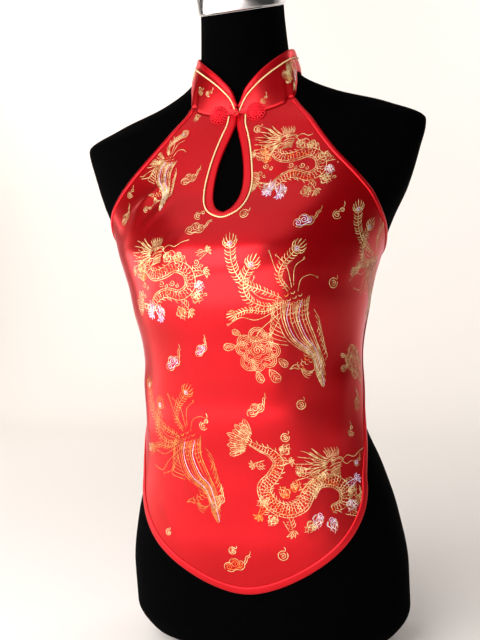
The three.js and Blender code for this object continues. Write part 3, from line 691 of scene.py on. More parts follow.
def azimuth_of(across, height):
    """The azimuth that lies a given distance along the cloth from the middle."""
    rows = arc_rows(np.asarray(height, dtype=float))
    distance = np.abs(across)
    low = np.clip((rows < distance[..., None]).sum(-1) - 1, 0, len(ARC_AZIMUTHS) - 2)
    near = np.take_along_axis(rows, low[..., None], -1)[..., 0]
    far = np.take_along_axis(rows, low[..., None] + 1, -1)[..., 0]
    share = (distance - near) / np.maximum(far - near, 1e-6)
    return np.sign(across) * (low + share) * ARC_AZIMUTHS[1]


def settle(thing, slot, *nodes):
    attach(thing, "root")
    if nodes:
        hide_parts(*nodes)


# The dress form
FORM_COLUMNS = 144
FORM_ROWS = 230
NECK_TOP = 736
NECK_TILT = 20
NECK_BEND = 666


def form_ring(height, columns):
    tilt = math.radians(NECK_TILT) * smooth_step((height - NECK_BEND) / (NECK_TOP - NECK_BEND))
    azimuth = np.arange(columns) / columns * 360
    azimuth = np.where(azimuth > 180, azimuth - 360, azimuth)
    level = np.full(columns, float(height))
    for _ in range(4):
        level = height + place(azimuth, level, form_radius(azimuth, level))[:, 1] * math.tan(tilt)
    return place(azimuth, level, form_radius(azimuth, level))


def build_form():
    heights = np.concatenate([[0, 0.6, 1.6, 3], np.linspace(5, NECK_TOP, FORM_ROWS)])
    rings = np.stack([form_ring(height, FORM_COLUMNS) for height in heights])
    points = rings.reshape(-1, 3).tolist()
    faces = closed_faces(len(heights), FORM_COLUMNS)
    settle(new_object("form_cover", points, faces, black_jersey), "black_jersey", "form_torso")


# The cap: rise over the neck's rim and spread past it, from its skirt over the edge to the crown
CAP_ROWS = [
    (0.3, -6), (0.3, 0.6), (0.7, 1.6), (1.6, 2.3), (3, 2.5), (12, 2.5), (21, 2.5), (23.6, 2.1), (25.6, 1.0),
    (27.2, -1.4), (28.6, -5), (29.8, -11), (30.6, -20), (30.9, -32),
]


def build_cap():
    rim = form_ring(NECK_TOP, FORM_COLUMNS)
    middle = rim.mean(axis=0)
    tilt = math.radians(NECK_TILT)
    up = np.array([0, -math.sin(tilt), math.cos(tilt)])
    outward = rim - middle
    reach = np.linalg.norm(outward, axis=1, keepdims=True)
    rings = [middle + outward * (reach + spread) / reach + up * rise for rise, spread in CAP_ROWS]
    faces = closed_faces(len(rings), FORM_COLUMNS)
    settle(new_object("neck_cap_shell", np.vstack(rings), faces, chrome), "cap_chrome", "neck_cap")


# The front panel
def build_panel():
    azimuth, height = half_grid[..., 0], half_grid[..., 1]
    rows, columns = azimuth.shape
    across = across_of(azimuth, height)
    turned, raised, run = (
        np.concatenate([side.ravel(), sign * side.ravel()])
        for side, sign in ((azimuth, -1), (height, 1), (across, -1))
    )
    shift = rows * columns
    joined_from = LAST_KEYHOLE_ROW * FINENESS

    def left_index(j, i):
        return j * columns + i if i == 0 and j >= joined_from else shift + j * columns + i

    faces = []
    for j in range(rows - 1):
        for i in range(columns - 1):
            a = j * columns + i
            faces.append((a, a + columns, a + columns + 1, a + 1))
            corners = ((j, i), (j, i + 1), (j + 1, i + 1), (j + 1, i))
            faces.append(tuple(left_index(*corner) for corner in corners))
    used = sorted({index for face in faces for index in face})
    renumber = {index: k for k, index in enumerate(used)}
    faces = [tuple(renumber[index] for index in face) for face in faces]
    turned, raised, run = turned[used], raised[used], run[used]
    outer = cloth_at(turned, raised, CLOTH_THICKNESS)
    inner = cloth_at(turned, raised, INNER_LIFT)
    thing = shell("brocade_panel", outer, inner, faces, np.stack([run, raised], 1), red_brocade)
    settle(thing, "red_brocade", "front_panel")
    return thing


# Bindings: a bias strip folded over the cut edge. The section runs round the fold, outer leg first.
def binding_section(width):
    """Places (inward from the edge, out of the cloth) of the strip's outline, for one width."""
    crown = CLOTH_THICKNESS + 1.15
    front = [
        (width, 1.25), (width + 0.1, 1.7), (width - 0.5, 2.05), (width * 0.72, crown - 0.08),
        (width * 0.45, crown), (width * 0.2, crown - 0.1),
    ]
    fold = [(0.1, 2.0), (-0.55, 1.5), (-0.85, 0.8), (-0.7, 0.1)]
    back = [(-0.2, -0.35), (0.8, -0.55), (width * 0.6, -0.6), (width - 1.6, -0.45), (width - 1.5, -0.12)]
    inside = [(0.4, -0.05), (0.3, 1.25)]
    return np.array(front + fold + back + inside)


# Places of the edge stitching: how far in from a strip's inner edge, and how high over the cloth
STITCH_INSET = 1.3
STITCH_HEIGHT = 2.2
STITCH_LENGTH = 2.2
STITCH_SPACING = 3.2
STITCH_RADIUS = 0.24
stitch_lines = []


def mark_stitches(path, sides, outs, widths):
    """Keeps the line that the edge stitching of a strip follows."""
    inset = np.maximum(np.asarray(widths) - STITCH_INSET, 0.5)
    stitch_lines.append(path + sides * inset[:, None] + outs * STITCH_HEIGHT)


def binding(name, azimuth, height, widths, inward_hint, closed=False):
    """A folded strip along an edge of the cloth, given by its azimuths and heights."""
    path = cloth_at(azimuth, height, 0.0)
    outs = cloth_normal(azimuth, height)
    sides = unit(np.cross(outs, tangents(path, closed)))
    flip = np.sign(np.einsum("ij,ij->i", sides, inward_hint - path))
    sides = sides * flip[:, None]
    mark_stitches(path, sides, outs, widths)
    sections = np.stack([binding_section(width) for width in widths])
    if flip[len(flip) // 2] > 0:
        sections = sections[:, ::-1]
    return sweep(name, path, sides, outs, sections, red_satin, "cloth", closed)


def edge_lines():
    """The cut edge of the right half, from the collar seam to the corner and from there to the middle."""
    corner = CORNER_ROW * FINENESS
    armhole = half_grid[:corner + 1, -1]
    start = corner + FINENESS
    side = half_grid[start:, -1]
    hem = half_grid[-1, ::-1][1:]
    return armhole, np.vstack([side, hem])


# Width of the hem's strip at the bottom and up the sides, and where one passes into the other
HEM_BOTTOM_WIDTH = 7.5
HEM_SIDE_WIDTH = 5.6
HEM_CHANGE_FROM = 0.45
HEM_CHANGE_OVER = 0.3


def build_edge_bindings():
    armhole, side_and_hem = edge_lines()
    inner = np.array([inset_edge(row) for row in np.linspace(0, CORNER_ROW, len(armhole))])
    widths = panel["band"](np.linspace(0, CORNER_ROW, len(armhole)))
    for side, sign in (("left", 1), ("right", -1)):
        hint = cloth_at(sign * inner[:, 0], inner[:, 1], 0.0)
        thing = binding(f"armhole_strip_{side}", sign * armhole[:, 0], armhole[:, 1], widths, hint)
        settle(thing, "red_satin", f"armhole_binding_{side}")
    azimuth = np.concatenate([side_and_hem[:, 0], -side_and_hem[::-1, 0][1:]])
    height = np.concatenate([side_and_hem[:, 1], side_and_hem[::-1, 1][1:]])
    centre = cloth_at(azimuth * 0.6, height * 0.7 + 100, 0.0)
    share = np.abs(np.linspace(-1, 1, len(azimuth)))
    change = smooth_step((share - HEM_CHANGE_FROM) / HEM_CHANGE_OVER)
    widths = mix(HEM_BOTTOM_WIDTH, HEM_SIDE_WIDTH, change)
    thing = binding("hem_strip", azimuth, height, widths, centre)
    settle(thing, "red_satin", "hem_binding")


def keyhole_line(across, height, bottom, steps):
    """A smooth line down one side of the keyhole, round its bottom and up the other side."""
    half = list(zip(across, height))
    if bottom is not None:
        half.append((0.0, bottom))
    mirrored = [(-x, z) for x, z in half[:-1]][::-1]
    line = curve_through(half + mirrored, steps)
    return np.degrees(line[:, 0] / form_radius(0, line[:, 1])), line[:, 1]


KEYHOLE_STEPS = 8
KEYHOLE_HINT_HEIGHT = 500


def build_keyhole():
    rows = KEYHOLE_ROWS
    azimuth, height = keyhole_line(rows["inner"], rows["inner_height"], None, KEYHOLE_STEPS)
    lowered = height - np.where(height < KEYHOLE_HINT_HEIGHT, 30, 0)
    hint = cloth_at(azimuth * 3 + np.sign(azimuth) * 8, lowered, 0.0)
    table_widths = np.hypot(rows["outer"] - rows["inner"], rows["outer_height"] - rows["inner_height"])
    table_widths[-1] = rows["inner_height"][-1] - KEYHOLE_BOTTOM
    places = np.concatenate([table_widths, table_widths[:-1][::-1]])
    widths = monotone(range(len(places)), places)(np.linspace(0, len(places) - 1, len(azimuth)))
    thing = binding("keyhole_strip", azimuth, height, widths, hint)
    settle(thing, "red_satin", "keyhole_binding")
    outer, outer_height = rows["outer"] + 1.0, rows["outer_height"] - 0.3
    azimuth, height = keyhole_line(outer, outer_height, KEYHOLE_BOTTOM - 1.0, KEYHOLE_STEPS)
    path = cloth_at(azimuth, height, PIPING_LIFT)
    thing = tube("keyhole_cord", path, PIPING_RADIUS, gold_piping)
    settle(thing, "gold_cord", "keyhole_piping")


# The collar
def collar_columns():
    """Azimuths and seam heights round the neck, from the front's right end to its left end."""
    front = half_grid[0]
    back = np.linspace(front[-1, 0], 180, 60)[1:]
    half = np.vstack([front, np.stack([back, collar["base"](back)], 1)])
    half[:, 1] += SEAM_GAP
    left = half[:-1][::-1] * (-1, 1)
    return np.vstack([half, left])


COLLAR_COLUMNS = collar_columns()
COLLAR_BULGE = 1.2


def collar_at(share, lift):
    """Places of the collar at a share of its height, lifted off its inner face, and its normals."""
    azimuth, base = COLLAR_COLUMNS[:, 0], COLLAR_COLUMNS[:, 1]
    foot = cloth_base(azimuth, base)
    top = collar["top"](np.abs(azimuth))
    worn = worn_azimuth(azimuth, top)
    angle = np.radians(worn)
    head = place(worn, top, form_radius(worn, top) + COLLAR_CLEARANCE + COLLAR_SHIFT * np.sin(angle))
    rise = head - foot
    length = np.linalg.norm(rise, axis=1)
    sideways = np.stack([np.cos(angle), np.sin(angle), np.zeros_like(angle)], 1)
    upright = unit(np.cross(sideways, rise))
    share = np.broadcast_to(share, azimuth.shape)
    turn = smooth_step(share / 0.25)[:, None]
    normal = unit(mix(cloth_normal(azimuth, base), upright, turn))
    bulge = COLLAR_BULGE * np.sin(share * math.pi) * np.minimum(1, length / 40)
    return foot + rise * share[:, None] + normal * (lift + bulge)[:, None], normal, length


def build_collar():
    shares = np.linspace(0, 1, 17)
    outer = np.vstack([collar_at(share, CLOTH_THICKNESS)[0] for share in shares])
    inner = np.vstack([collar_at(share, INNER_LIFT)[0] for share in shares])
    along = length_along(collar_at(0.5, 0.0)[0])
    length = collar_at(0.5, 0.0)[2]
    flat = np.vstack([np.stack([along, 600 + share * length], 1) for share in shares])
    faces = grid_faces(len(shares), len(COLLAR_COLUMNS))
    thing = shell("collar_band", outer, inner, faces, flat, red_brocade)
    settle(thing, "red_brocade", "collar")
    path, outs, length = collar_at(1.0, 0.0)
    sides = unit(np.cross(outs, tangents(path)))
    sides = sides * np.sign(-sides[:, 2])[:, None]
    widths = np.minimum(COLLAR_BAND, LARGEST_BAND_SHARE * length)
    mark_stitches(path, sides, outs, widths)
    sections = np.stack([binding_section(width) for width in widths])[:, ::-1]
    binding_thing = sweep("collar_strip", path, sides, outs, sections, red_satin, "cloth")
    settle(binding_thing, "red_satin", "collar_binding")
    below = 1 - (widths + PIPING_RADIUS + 0.2) / length
    path, _, _ = collar_at(below, PIPING_LIFT)
    cord = tube("collar_cord", path, PIPING_RADIUS, gold_piping)
    settle(cord, "gold_cord", "collar_piping")
    return thing


# The frog fastening
FROG_HEIGHT = 604.5
FLOWER_TILT = 11
FLOWER_RADIUS = 11.0
FLOWER_STANDOFF = 2.6
FLOWERS = {"left": 20.5, "right": -20.5}
BUTTON_RADIUS = 3.4
LINK_RISE = 2.9
FROG_CORD_RADIUS = 0.45


def frog_frame(across):
    azimuth = math.degrees(math.atan2(across, float(form["front"](FROG_HEIGHT))))
    tilt = math.radians(FLOWER_TILT)
    turn = math.radians(float(worn_azimuth(0, FROG_HEIGHT)))
    side = np.array([math.cos(turn), math.sin(turn), 0])
    up = np.array([-math.sin(turn) * math.sin(tilt), math.cos(turn) * math.sin(tilt), math.cos(tilt)])
    out = np.cross(side, up)
    centre = cloth_base(azimuth, FROG_HEIGHT) + out * (CLOTH_THICKNESS + FLOWER_STANDOFF)
    return centre, out, up, side


def petal_path(length, width, rise):
    """One looped petal of cord, out from the flower's middle and back, in the flower's own plane."""
    root, middle = (0.8, 0.3, 0.3), (length * 0.45, width * 0.42, 1)
    shoulder = (length * 0.85, width * 0.5, 0.9)
    out = [(x, -y, rise * z) for x, y, z in (root, middle, shoulder)]
    back = [(x, y, rise * z) for x, y, z in (shoulder, middle, root)]
    return curve_through(out + [(length, 0, rise * 0.5)] + back, 4)


def new_tree(name, inputs):
    """A Geometry Nodes tree with a geometry and named values as its inputs."""
    tree = bpy.data.node_groups.new(name, "GeometryNodeTree")
    tree.interface.new_socket("Geometry", in_out="INPUT", socket_type="NodeSocketGeometry")
    for label, kind, value in inputs:
        socket = tree.interface.new_socket(label, in_out="INPUT", socket_type=f"NodeSocket{kind}")
        if value is not None:
            socket.default_value = value
    tree.interface.new_socket("Geometry", in_out="OUTPUT", socket_type="NodeSocketGeometry")
    return tree, tree.nodes.new("NodeGroupInput")


def end_tree(tree, copies, material):
    """The end of each tree: real geometry from the copies, and its material."""
    real = add_node(tree, "GeometryNodeRealizeInstances", inputs={"Geometry": copies.outputs["Instances"]})
    finish = add_node(tree, "GeometryNodeSetMaterial", inputs={
        "Geometry": real.outputs["Geometry"], "Material": material,
    })
    result = tree.nodes.new("NodeGroupOutput")
    tree.links.new(finish.outputs["Geometry"], result.inputs["Geometry"])
    return tree


def petal_ring_tree(material):
    """Geometry Nodes: copies of one petal, turned evenly round the flower's middle."""
    tree, given = new_tree("petal_ring", [
        ("Petals", "Int", 12), ("Start angle", "Float", None), ("Size", "Float", 1.0),
    ])
    line = add_node(tree, "GeometryNodeMeshLine", inputs={"Count": given.outputs["Petals"]})
    line.inputs["Offset"].default_value = (0, 0, 0)
    index = add_node(tree, "GeometryNodeInputIndex").outputs["Index"]
    share = add_node(tree, "ShaderNodeMath", {"operation": "DIVIDE"}, {0: index, 1: given.outputs["Petals"]})
    turn = add_node(tree, "ShaderNodeMath", {"operation": "MULTIPLY_ADD"}, {
        0: share.outputs[0], 1: 2 * math.pi, 2: given.outputs["Start angle"],
    })
    rotation = add_node(tree, "ShaderNodeCombineXYZ", inputs={"Z": turn.outputs[0]})
    copies = add_node(tree, "GeometryNodeInstanceOnPoints", inputs={
        "Points": line.outputs["Mesh"], "Instance": given.outputs["Geometry"],
        "Rotation": rotation.outputs["Vector"], "Scale": given.outputs["Size"],
    })
    return end_tree(tree, copies, material)


def apply_tree(name, base, tree, inputs):
    """Runs a Geometry Nodes tree on an object and returns its result as a plain mesh object."""
    modifier = base.modifiers.new("nodes", "NODES")
    modifier.node_group = tree
    for item in tree.interface.items_tree:
        if item.in_out == "INPUT" and item.name in inputs:
            modifier[item.identifier] = inputs[item.name]
    depsgraph = bpy.context.evaluated_depsgraph_get()
    mesh = bpy.data.meshes.new_from_object(base.evaluated_get(depsgraph))
    base.modifiers.remove(modifier)
    mesh.name = name
    return link(name, mesh)


def seat(thing, centre, side, up, out):
    """Moves a piece from its own plane to its place, in its mesh."""
    mesh = thing.data
    places = vertex_places(mesh)
    moved = places[:, :1] * side + places[:, 1:2] * up + places[:, 2:] * out + np.asarray(centre) * MM
    mesh.vertices.foreach_set("co", moved.ravel())
    mesh.update()


# Rings of petals of one flower: number, length, width, rise off the cloth and starting angle
PETAL_RINGS = [
    (16, 1.0, 3.1, 0.4, 0.0),
    (13, 0.76, 2.9, 1.2, 0.25),
    (9, 0.5, 2.5, 2.0, 0.1),
]


def build_flower(side_name, across):
    centre, out, up, right = frog_frame(across)
    parts = []
    for number, (count, size, width, rise, start) in enumerate(PETAL_RINGS):
        path = petal_path(FLOWER_RADIUS * size - FROG_CORD_RADIUS, width, rise)
        petal = tube("petal", path, FROG_CORD_RADIUS, red_cord, sides=7)
        ring = apply_tree(f"petals_{side_name}_{number}", petal, petal_ring_tree(red_cord), {
            "Petals": count, "Start angle": start + across, "Size": 1.0,
        })
        bpy.data.objects.remove(petal, do_unlink=True)
        parts.append(ring)
    share = np.linspace(0, 1, 60)
    angle = 5 * math.pi * share
    reach = mix(3.0, 0.3, share)
    heart = np.stack([reach * np.cos(angle), reach * np.sin(angle), 2.1 + 0.5 * share], 1)
    parts.append(tube("heart", heart, FROG_CORD_RADIUS, red_cord, sides=7))
    flower = merge(f"cord_flower_{side_name}", parts)
    seat(flower, centre - out * 0.2, right, up, out)
    settle(flower, "red_cord", f"frog_flower_{side_name}")


def build_frog():
    for side_name, across in FLOWERS.items():
        build_flower(side_name, across)
    middle, out, up, right = frog_frame(0)
    centre = middle + out * LINK_RISE
    angle = np.linspace(0, 2 * math.pi, 97)[:-1]
    wind = BUTTON_RADIUS - FROG_CORD_RADIUS
    knot = (
        centre + (wind * np.sin(2 * angle) * np.cos(3 * angle))[:, None] * right
        + (wind * 1.25 * np.cos(2 * angle))[:, None] * up
        + (wind * np.sin(2 * angle) * np.sin(3 * angle))[:, None] * out
    )
    strands = [tube("knot", knot, FROG_CORD_RADIUS * 1.8, red_cord, closed=True)]
    settle(merge("knotted_button", strands), "red_cord", "frog_button")
    for name, node, across in (("button_loop", "frog_loop", FLOWERS["left"]),
                               ("button_stem", "frog_stem", FLOWERS["right"])):
        sign = math.copysign(1, across)
        flower = frog_frame(across)[0]
        start = flower + out * (LINK_RISE * 0.6) - right * sign * (FLOWER_RADIUS - 2.5)
        end = centre + right * sign * (BUTTON_RADIUS - 0.6)
        lines = []
        for side in (-1, 1):
            spread = up * side * 0.6
            lines.append(tube(name, curve_through([
                start + spread, mix(start, end, 0.5) + spread * 1.3, end + spread * 1.1,
            ], 6), FROG_CORD_RADIUS, red_cord, sides=8))
        settle(merge(name, lines), "red_cord", node)


# The ties on the back
TIE_HEIGHT = 428
TIE_HALF_WIDTH = 6
TIE_CLEARANCE = 1
KNOT = {"width": 9, "depth": 5, "height": 10}
TAIL_LENGTHS = {"left": 150, "right": 135}
TAIL_SPREAD = 9
TIE_THICKNESS = 0.9
TIE_DOME = 0.35
TIE_STEPS = 80


def ribbon(name, low, high, outs, ripple):
    """A soft strap between two edge lines, a little domed across its width."""
    shares = np.linspace(0, 1, 9)
    layers = []
    for share in shares:
        lift = TIE_THICKNESS + TIE_DOME * math.sin(share * math.pi) + ripple * math.sin(share * 2 * math.pi)
        layers.append(mix(low, high, share) + outs * lift[:, None])
    points = np.stack(layers, axis=1)
    inner = points - outs[:, None] * TIE_THICKNESS
    rows, columns = points.shape[:2]
    along = length_along(mix(low, high, 0.5))
    width = np.linalg.norm(high[0] - low[0])
    flat = np.stack(np.broadcast_arrays(shares[None, :] * width, along[:, None]), -1).reshape(-1, 2)
    faces = grid_faces(rows, columns)
    return shell(name, points.reshape(-1, 3), inner.reshape(-1, 3), faces, flat, red_satin)


def build_ties():
    start = PANEL_ROWS["reach"][CORNER_ROW] - 3
    back = float(form["back"](TIE_HEIGHT))
    end = 180 - math.degrees((KNOT["width"] - 3) / back)
    for side, sign in (("left", 1), ("right", -1)):
        share = np.linspace(0, 1, TIE_STEPS)
        azimuth = sign * mix(start, end, share)
        pinch = 1 - 0.45 * smooth_step((share - 0.85) / 0.15)
        lines = []
        for edge in (-1, 1):
            height = TIE_HEIGHT + edge * TIE_HALF_WIDTH * pinch
            lines.append(place(azimuth, height, form_radius(azimuth, height) + TIE_CLEARANCE))
        if sign < 0:
            lines.reverse()
        outs = place(azimuth, 0, 1.0)
        ripple = 0.5 * smooth_step((share - 0.6) / 0.4)
        settle(ribbon(f"tie_strap_{side}", lines[0], lines[1], outs, ripple), "red_satin", f"tie_{side}")
        depth = back + TIE_CLEARANCE + KNOT["depth"] - TIE_THICKNESS * 1.5
        height = TIE_HEIGHT - KNOT["height"] + 3 - TAIL_LENGTHS[side] * share
        middle = sign * (TIE_HALF_WIDTH * mix(0.55, 1.05, smooth_step(share / 0.1)) + TAIL_SPREAD * share)
        sway = 1.2 * np.sin(share * 5 + sign)
        half = TIE_HALF_WIDTH * mix(0.55, 1.0, smooth_step(share / 0.15))
        slant = 4 * smooth_step((share - 0.96) / 0.04)
        low = np.stack([middle + half, depth + sway * 0.4, height], 1)
        high = np.stack([middle - half, depth - sway * 0.4, height + sign * slant], 1)
        outs = np.broadcast_to(np.array([0.0, 1.0, 0.0]), low.shape)
        ripple = 0.6 * np.sin(share * 9 + sign)
        settle(ribbon(f"tie_tail_{side}", high, low, outs, ripple), "red_satin", f"tie_end_{side}")
    build_knot(back + TIE_CLEARANCE + KNOT["depth"])


def build_knot(depth):
    """A flat tie knot: two soft loops of strap wrapped round each other."""
    parts = []
    for turn, size, shift in ((0.0, 1.0, 0.0), (1.25, 0.82, 1.2), (-0.9, 0.7, 2.0)):
        angle = np.linspace(0, 2 * math.pi, 64, endpoint=False)
        x = KNOT["width"] * 0.62 * size * np.cos(angle)
        y = (KNOT["depth"] - 1.8) * size * np.sin(angle)
        across = np.array([math.cos(turn), 0, math.sin(turn)])
        along = np.array([-math.sin(turn), 0, math.cos(turn)])
        path = np.array([0, depth + shift * 0.2, TIE_HEIGHT]) + x[:, None] * across + y[:, None] * (0, 1, 0)
        outs = unit((x / KNOT["width"])[:, None] * across + (y / KNOT["depth"])[:, None] * (0, 1, 0))
        half = KNOT["height"] * 0.52 * size
        section = [(-half, -0.5), (-half * 0.6, 0.5), (0, 0.9), (half * 0.6, 0.5), (half, -0.5), (0, -0.7)]
        sides = np.broadcast_to(along, path.shape)
        parts.append(sweep("wrap", path, sides, outs, np.array(section), red_satin, "cloth", closed=True))
    settle(merge("tie_knot_wraps", parts), "red_satin", "tie_knot")


# Edge stitching
def stitch_row_tree(material):
    """Geometry Nodes: copies of one stitch, evenly spaced along a line and turned to follow it."""
    spacing = STITCH_SPACING * MM
    tree, given = new_tree("stitch_row", [("Stitch", "Object", None), ("Spacing", "Float", spacing)])
    line = add_node(tree, "GeometryNodeMeshToCurve", inputs={"Mesh": given.outputs["Geometry"]})
    places = add_node(tree, "GeometryNodeCurveToPoints", {"mode": "LENGTH"}, {
        "Curve": line.outputs["Curve"], "Length": given.outputs["Spacing"],
    })
    stitch = add_node(tree, "GeometryNodeObjectInfo", inputs={"Object": given.outputs["Stitch"]})
    copies = add_node(tree, "GeometryNodeInstanceOnPoints", inputs={
        "Points": places.outputs["Points"], "Instance": stitch.outputs["Geometry"],
        "Rotation": places.outputs["Rotation"],
    })
    return end_tree(tree, copies, material)


def build_stitches():
    half = STITCH_LENGTH / 2
    path = np.array([(0, 0, -half), (0, 0, -half * 0.5), (0, 0, half * 0.5), (0, 0, half)])
    stitch = tube("stitch", path, STITCH_RADIUS, red_thread, sides=6)
    tree = stitch_row_tree(red_thread)
    rows = []
    for number, line in enumerate(stitch_lines):
        mesh = bpy.data.meshes.new("stitch_line")
        edges = [(i, i + 1) for i in range(len(line) - 1)]
        mesh.from_pydata((line * MM).tolist(), edges, [])
        base = link("stitch_line", mesh)
        rows.append(apply_tree(f"stitches_{number}", base, tree, {"Stitch": stitch}))
        bpy.data.objects.remove(base, do_unlink=True)
    bpy.data.objects.remove(stitch, do_unlink=True)
    settle(merge("edge_stitching", rows), "red_satin")


# Woven figures: strokes in millimetres in a figure's own plane, x to the wearer's left, y up
# The fourth thread is the gold thread painted darker, as painted shade.
GOLD, LILAC, ORANGE, SHADED_GOLD = range(4)


class Figure:
    """Collects the strokes of one figure before it is laid on the cloth."""

    def __init__(self):
        self.strokes = []

    def line(self, points, width=0.8, tint=GOLD):
        self.strokes.append((np.asarray(points, dtype=float), width, tint))

    def curve(self, points, width=0.8, tint=GOLD, steps=5):
        self.line(curve_through(points, steps), width, tint)

    def arc(self, centre, radius, start, end, width=0.7, tint=GOLD):
        count = max(5, int(abs(end - start) * radius / 1.3) + 3)
        angle = np.linspace(start, end, count)
        x = centre[0] + radius * np.cos(angle)
        y = centre[1] + radius * np.sin(angle)
        self.line(np.stack([x, y], 1), width, tint)

    def spiral(self, centre, radius, start, turns, width=0.75, tint=GOLD):
        count = max(8, int(abs(turns) * radius * 3))
        share = np.linspace(0, 1, count)
        angle = start + share * turns * 2 * math.pi
        reach = radius * (1 - 0.82 * share)
        x = centre[0] + reach * np.cos(angle)
        y = centre[1] + reach * np.sin(angle)
        self.line(np.stack([x, y], 1), width, tint)

    def add(self, other, place_at=(0, 0), turn=0.0, size=1.0):
        cosine, sine = math.cos(turn) * size, math.sin(turn) * size
        for points, width, tint in other.strokes:
            x, y = points[:, 0], points[:, 1]
            moved = np.stack([x * cosine - y * sine + place_at[0], x * sine + y * cosine + place_at[1]], 1)
            self.strokes.append((moved, width, tint))


def spine_frame(points, steps):
    line = curve_through(points, steps)
    along = tangents(line)
    return line, along, np.stack([-along[:, 1], along[:, 0]], 1)


def cloud(tint=GOLD):
    """A drifting cloud: curled lobes with an echoing outline and a wavy tail."""
    figure = Figure()
    for x, y, radius, start, turns in (
        (-7, 0, 3.6, 2.4, -1.6), (-0.5, 2.6, 4.2, 2.0, -1.7), (5.5, 0.2, 3.2, 1.0, 1.5),
    ):
        figure.spiral((x, y), radius, start, turns, 0.55, tint)
        figure.arc((x, y), radius + 1.1, start - 2.6, start + 1.2, 0.45)
    figure.curve([(-10, -3), (-5, -5.2), (0, -3.6), (5, -4.8), (9, -2.4)], 0.6)
    figure.curve([(-8, -1.5), (-3, -3.4), (2, -2), (6, -3)], 0.6, tint)
    figure.curve([(7, 1), (11, 3.5), (13, 7.5), (17, 8.5), (19, 12.5)], 0.6)
    figure.curve([(8.5, -1), (12.5, 2.5), (14.5, 6), (18, 7)], 0.6)
    return figure


def small_cloud(tint=GOLD):
    """Two curls back to back with a short tail."""
    figure = Figure()
    figure.spiral((-2.6, 0), 3.1, 0.4, 1.5, 0.75, tint)
    figure.spiral((2.6, 1.4), 2.7, 3.4, -1.5, 0.75)
    figure.arc((-2.4, 0.2), 4.2, 1.4, 5.2, 0.6)
    figure.curve([(4.4, 3), (6.5, 5.2), (7.2, 8)], 0.7)
    return figure


def coin():
    """A small round curl with crossed threads inside."""
    figure = Figure()
    figure.arc((0, 0), 4.3, 0.5, 6.4, 0.8)
    figure.arc((0, 0), 2.4, 3.4, 8.8, 0.65)
    figure.line([(-1.8, 0), (1.8, 0)], 0.6)
    figure.line([(0, -1.8), (0, 1.8)], 0.6)
    figure.curve([(3.8, 2), (5.4, 3.6), (5.2, 5.8)], 0.7)
    return figure


def plume(points, barb, eye, tint, spacing):
    """A long tail feather: a vein, swept barbs and a crowned eye at its tip."""
    figure = Figure()
    line, along, across = spine_frame(points, 14)
    distance = length_along(line)
    total = distance[-1]
    figure.line(line, 0.75)
    for position in np.arange(4, total - 1.0, spacing):
        i = int(np.searchsorted(distance, position))
        reach = barb * (0.45 + 0.55 * math.sin(min(1, position / total * 1.2) * math.pi * 0.5))
        for side in (-1, 1):
            bend = line[i] + across[i] * side * reach * 0.5 + along[i] * reach * 0.12
            tip = line[i] + across[i] * side * reach * 0.85 + along[i] * reach * 0.55
            figure.curve([line[i], bend, tip], 0.75, steps=3)
    end = line[-1]
    heading = math.atan2(along[-1][1], along[-1][0])
    figure.arc(end, eye, 0, 6.4, 0.6)
    figure.arc(end, eye * 0.68, 0, 6.4, 0.6, tint)
    figure.arc(end, eye * 0.3, 0, 6.4, 0.8, tint)
    for k in range(7):
        spread = (k - 3) * 0.5
        root = end + turned((eye * 1.0, 0), heading + spread * 1.25)
        middle = end + turned((eye + 3.4, 0), heading + spread * 1.1)
        tip = end + turned((eye + 9.0 - abs(k - 3) * 1.1, 0), heading + spread * 0.7)
        figure.curve([root, middle, tip], 0.75, steps=4)
    return figure


def turned(place_at, angle):
    x, y = place_at
    return np.array([x * math.cos(angle) - y * math.sin(angle), x * math.sin(angle) + y * math.cos(angle)])


def feather(length, width, barbs, tint=GOLD):
    """A leaf-shaped feather along +X: outline, vein and a few slanting barbs."""
    figure = Figure()
    for side in (-1, 1):
        figure.curve([
            (0, 0), (length * 0.35, side * width * 0.42), (length * 0.8, side * width * 0.5), (length, 0),
        ], 0.5, tint, 4)
        for k in range(barbs):
            x = length * (0.25 + 0.6 * k / max(1, barbs))
            figure.line([(x, 0), (x + width * 0.45, side * width * 0.36)], 0.45)
    figure.line([(0, 0), (length * 0.93, 0)], 0.42)
    return figure


def feather_fan(figure, start, heading, spread, count, length, width, tint=GOLD):
    """A fan of leaf-shaped feathers, the middle ones longest."""
    for k in range(count):
        share = k / max(1, count - 1) - 0.5
        reach = length * (1 - 0.5 * abs(share)) * (0.9 if k % 2 else 1)
        angle = heading + spread * share
        root = np.asarray(start) + turned((0, share * count * width * 0.42), heading)
        figure.add(feather(reach, width, int(reach / 9), tint if k % 3 == 1 else GOLD), root, angle)


def scallops(figure, points, width, rows, tint=GOLD):
    """Overlapping short feathers over a body or neck."""
    line, along, across = spine_frame(points, 20)
    distance = length_along(line)
    for number in range(rows):
        i = min(int(np.searchsorted(distance, distance[-1] * (number + 0.5) / rows)), len(line) - 1)
        half = width * math.sin(math.pi * (0.2 + 0.6 * number / max(1, rows - 1)))
        count = max(2, int(half * 2 / 5.0))
        heading = math.atan2(along[i][1], along[i][0])
        for k in range(count):
            offset = -half + 2 * half * (k + 0.5 * (number % 2) + 0.25) / count
            centre = line[i] + across[i] * offset
            colour = tint if (k + 2 * number) % 5 == 0 else GOLD
            figure.arc(centre, 2.3, heading - 1.4, heading + 1.4, 0.6, colour)


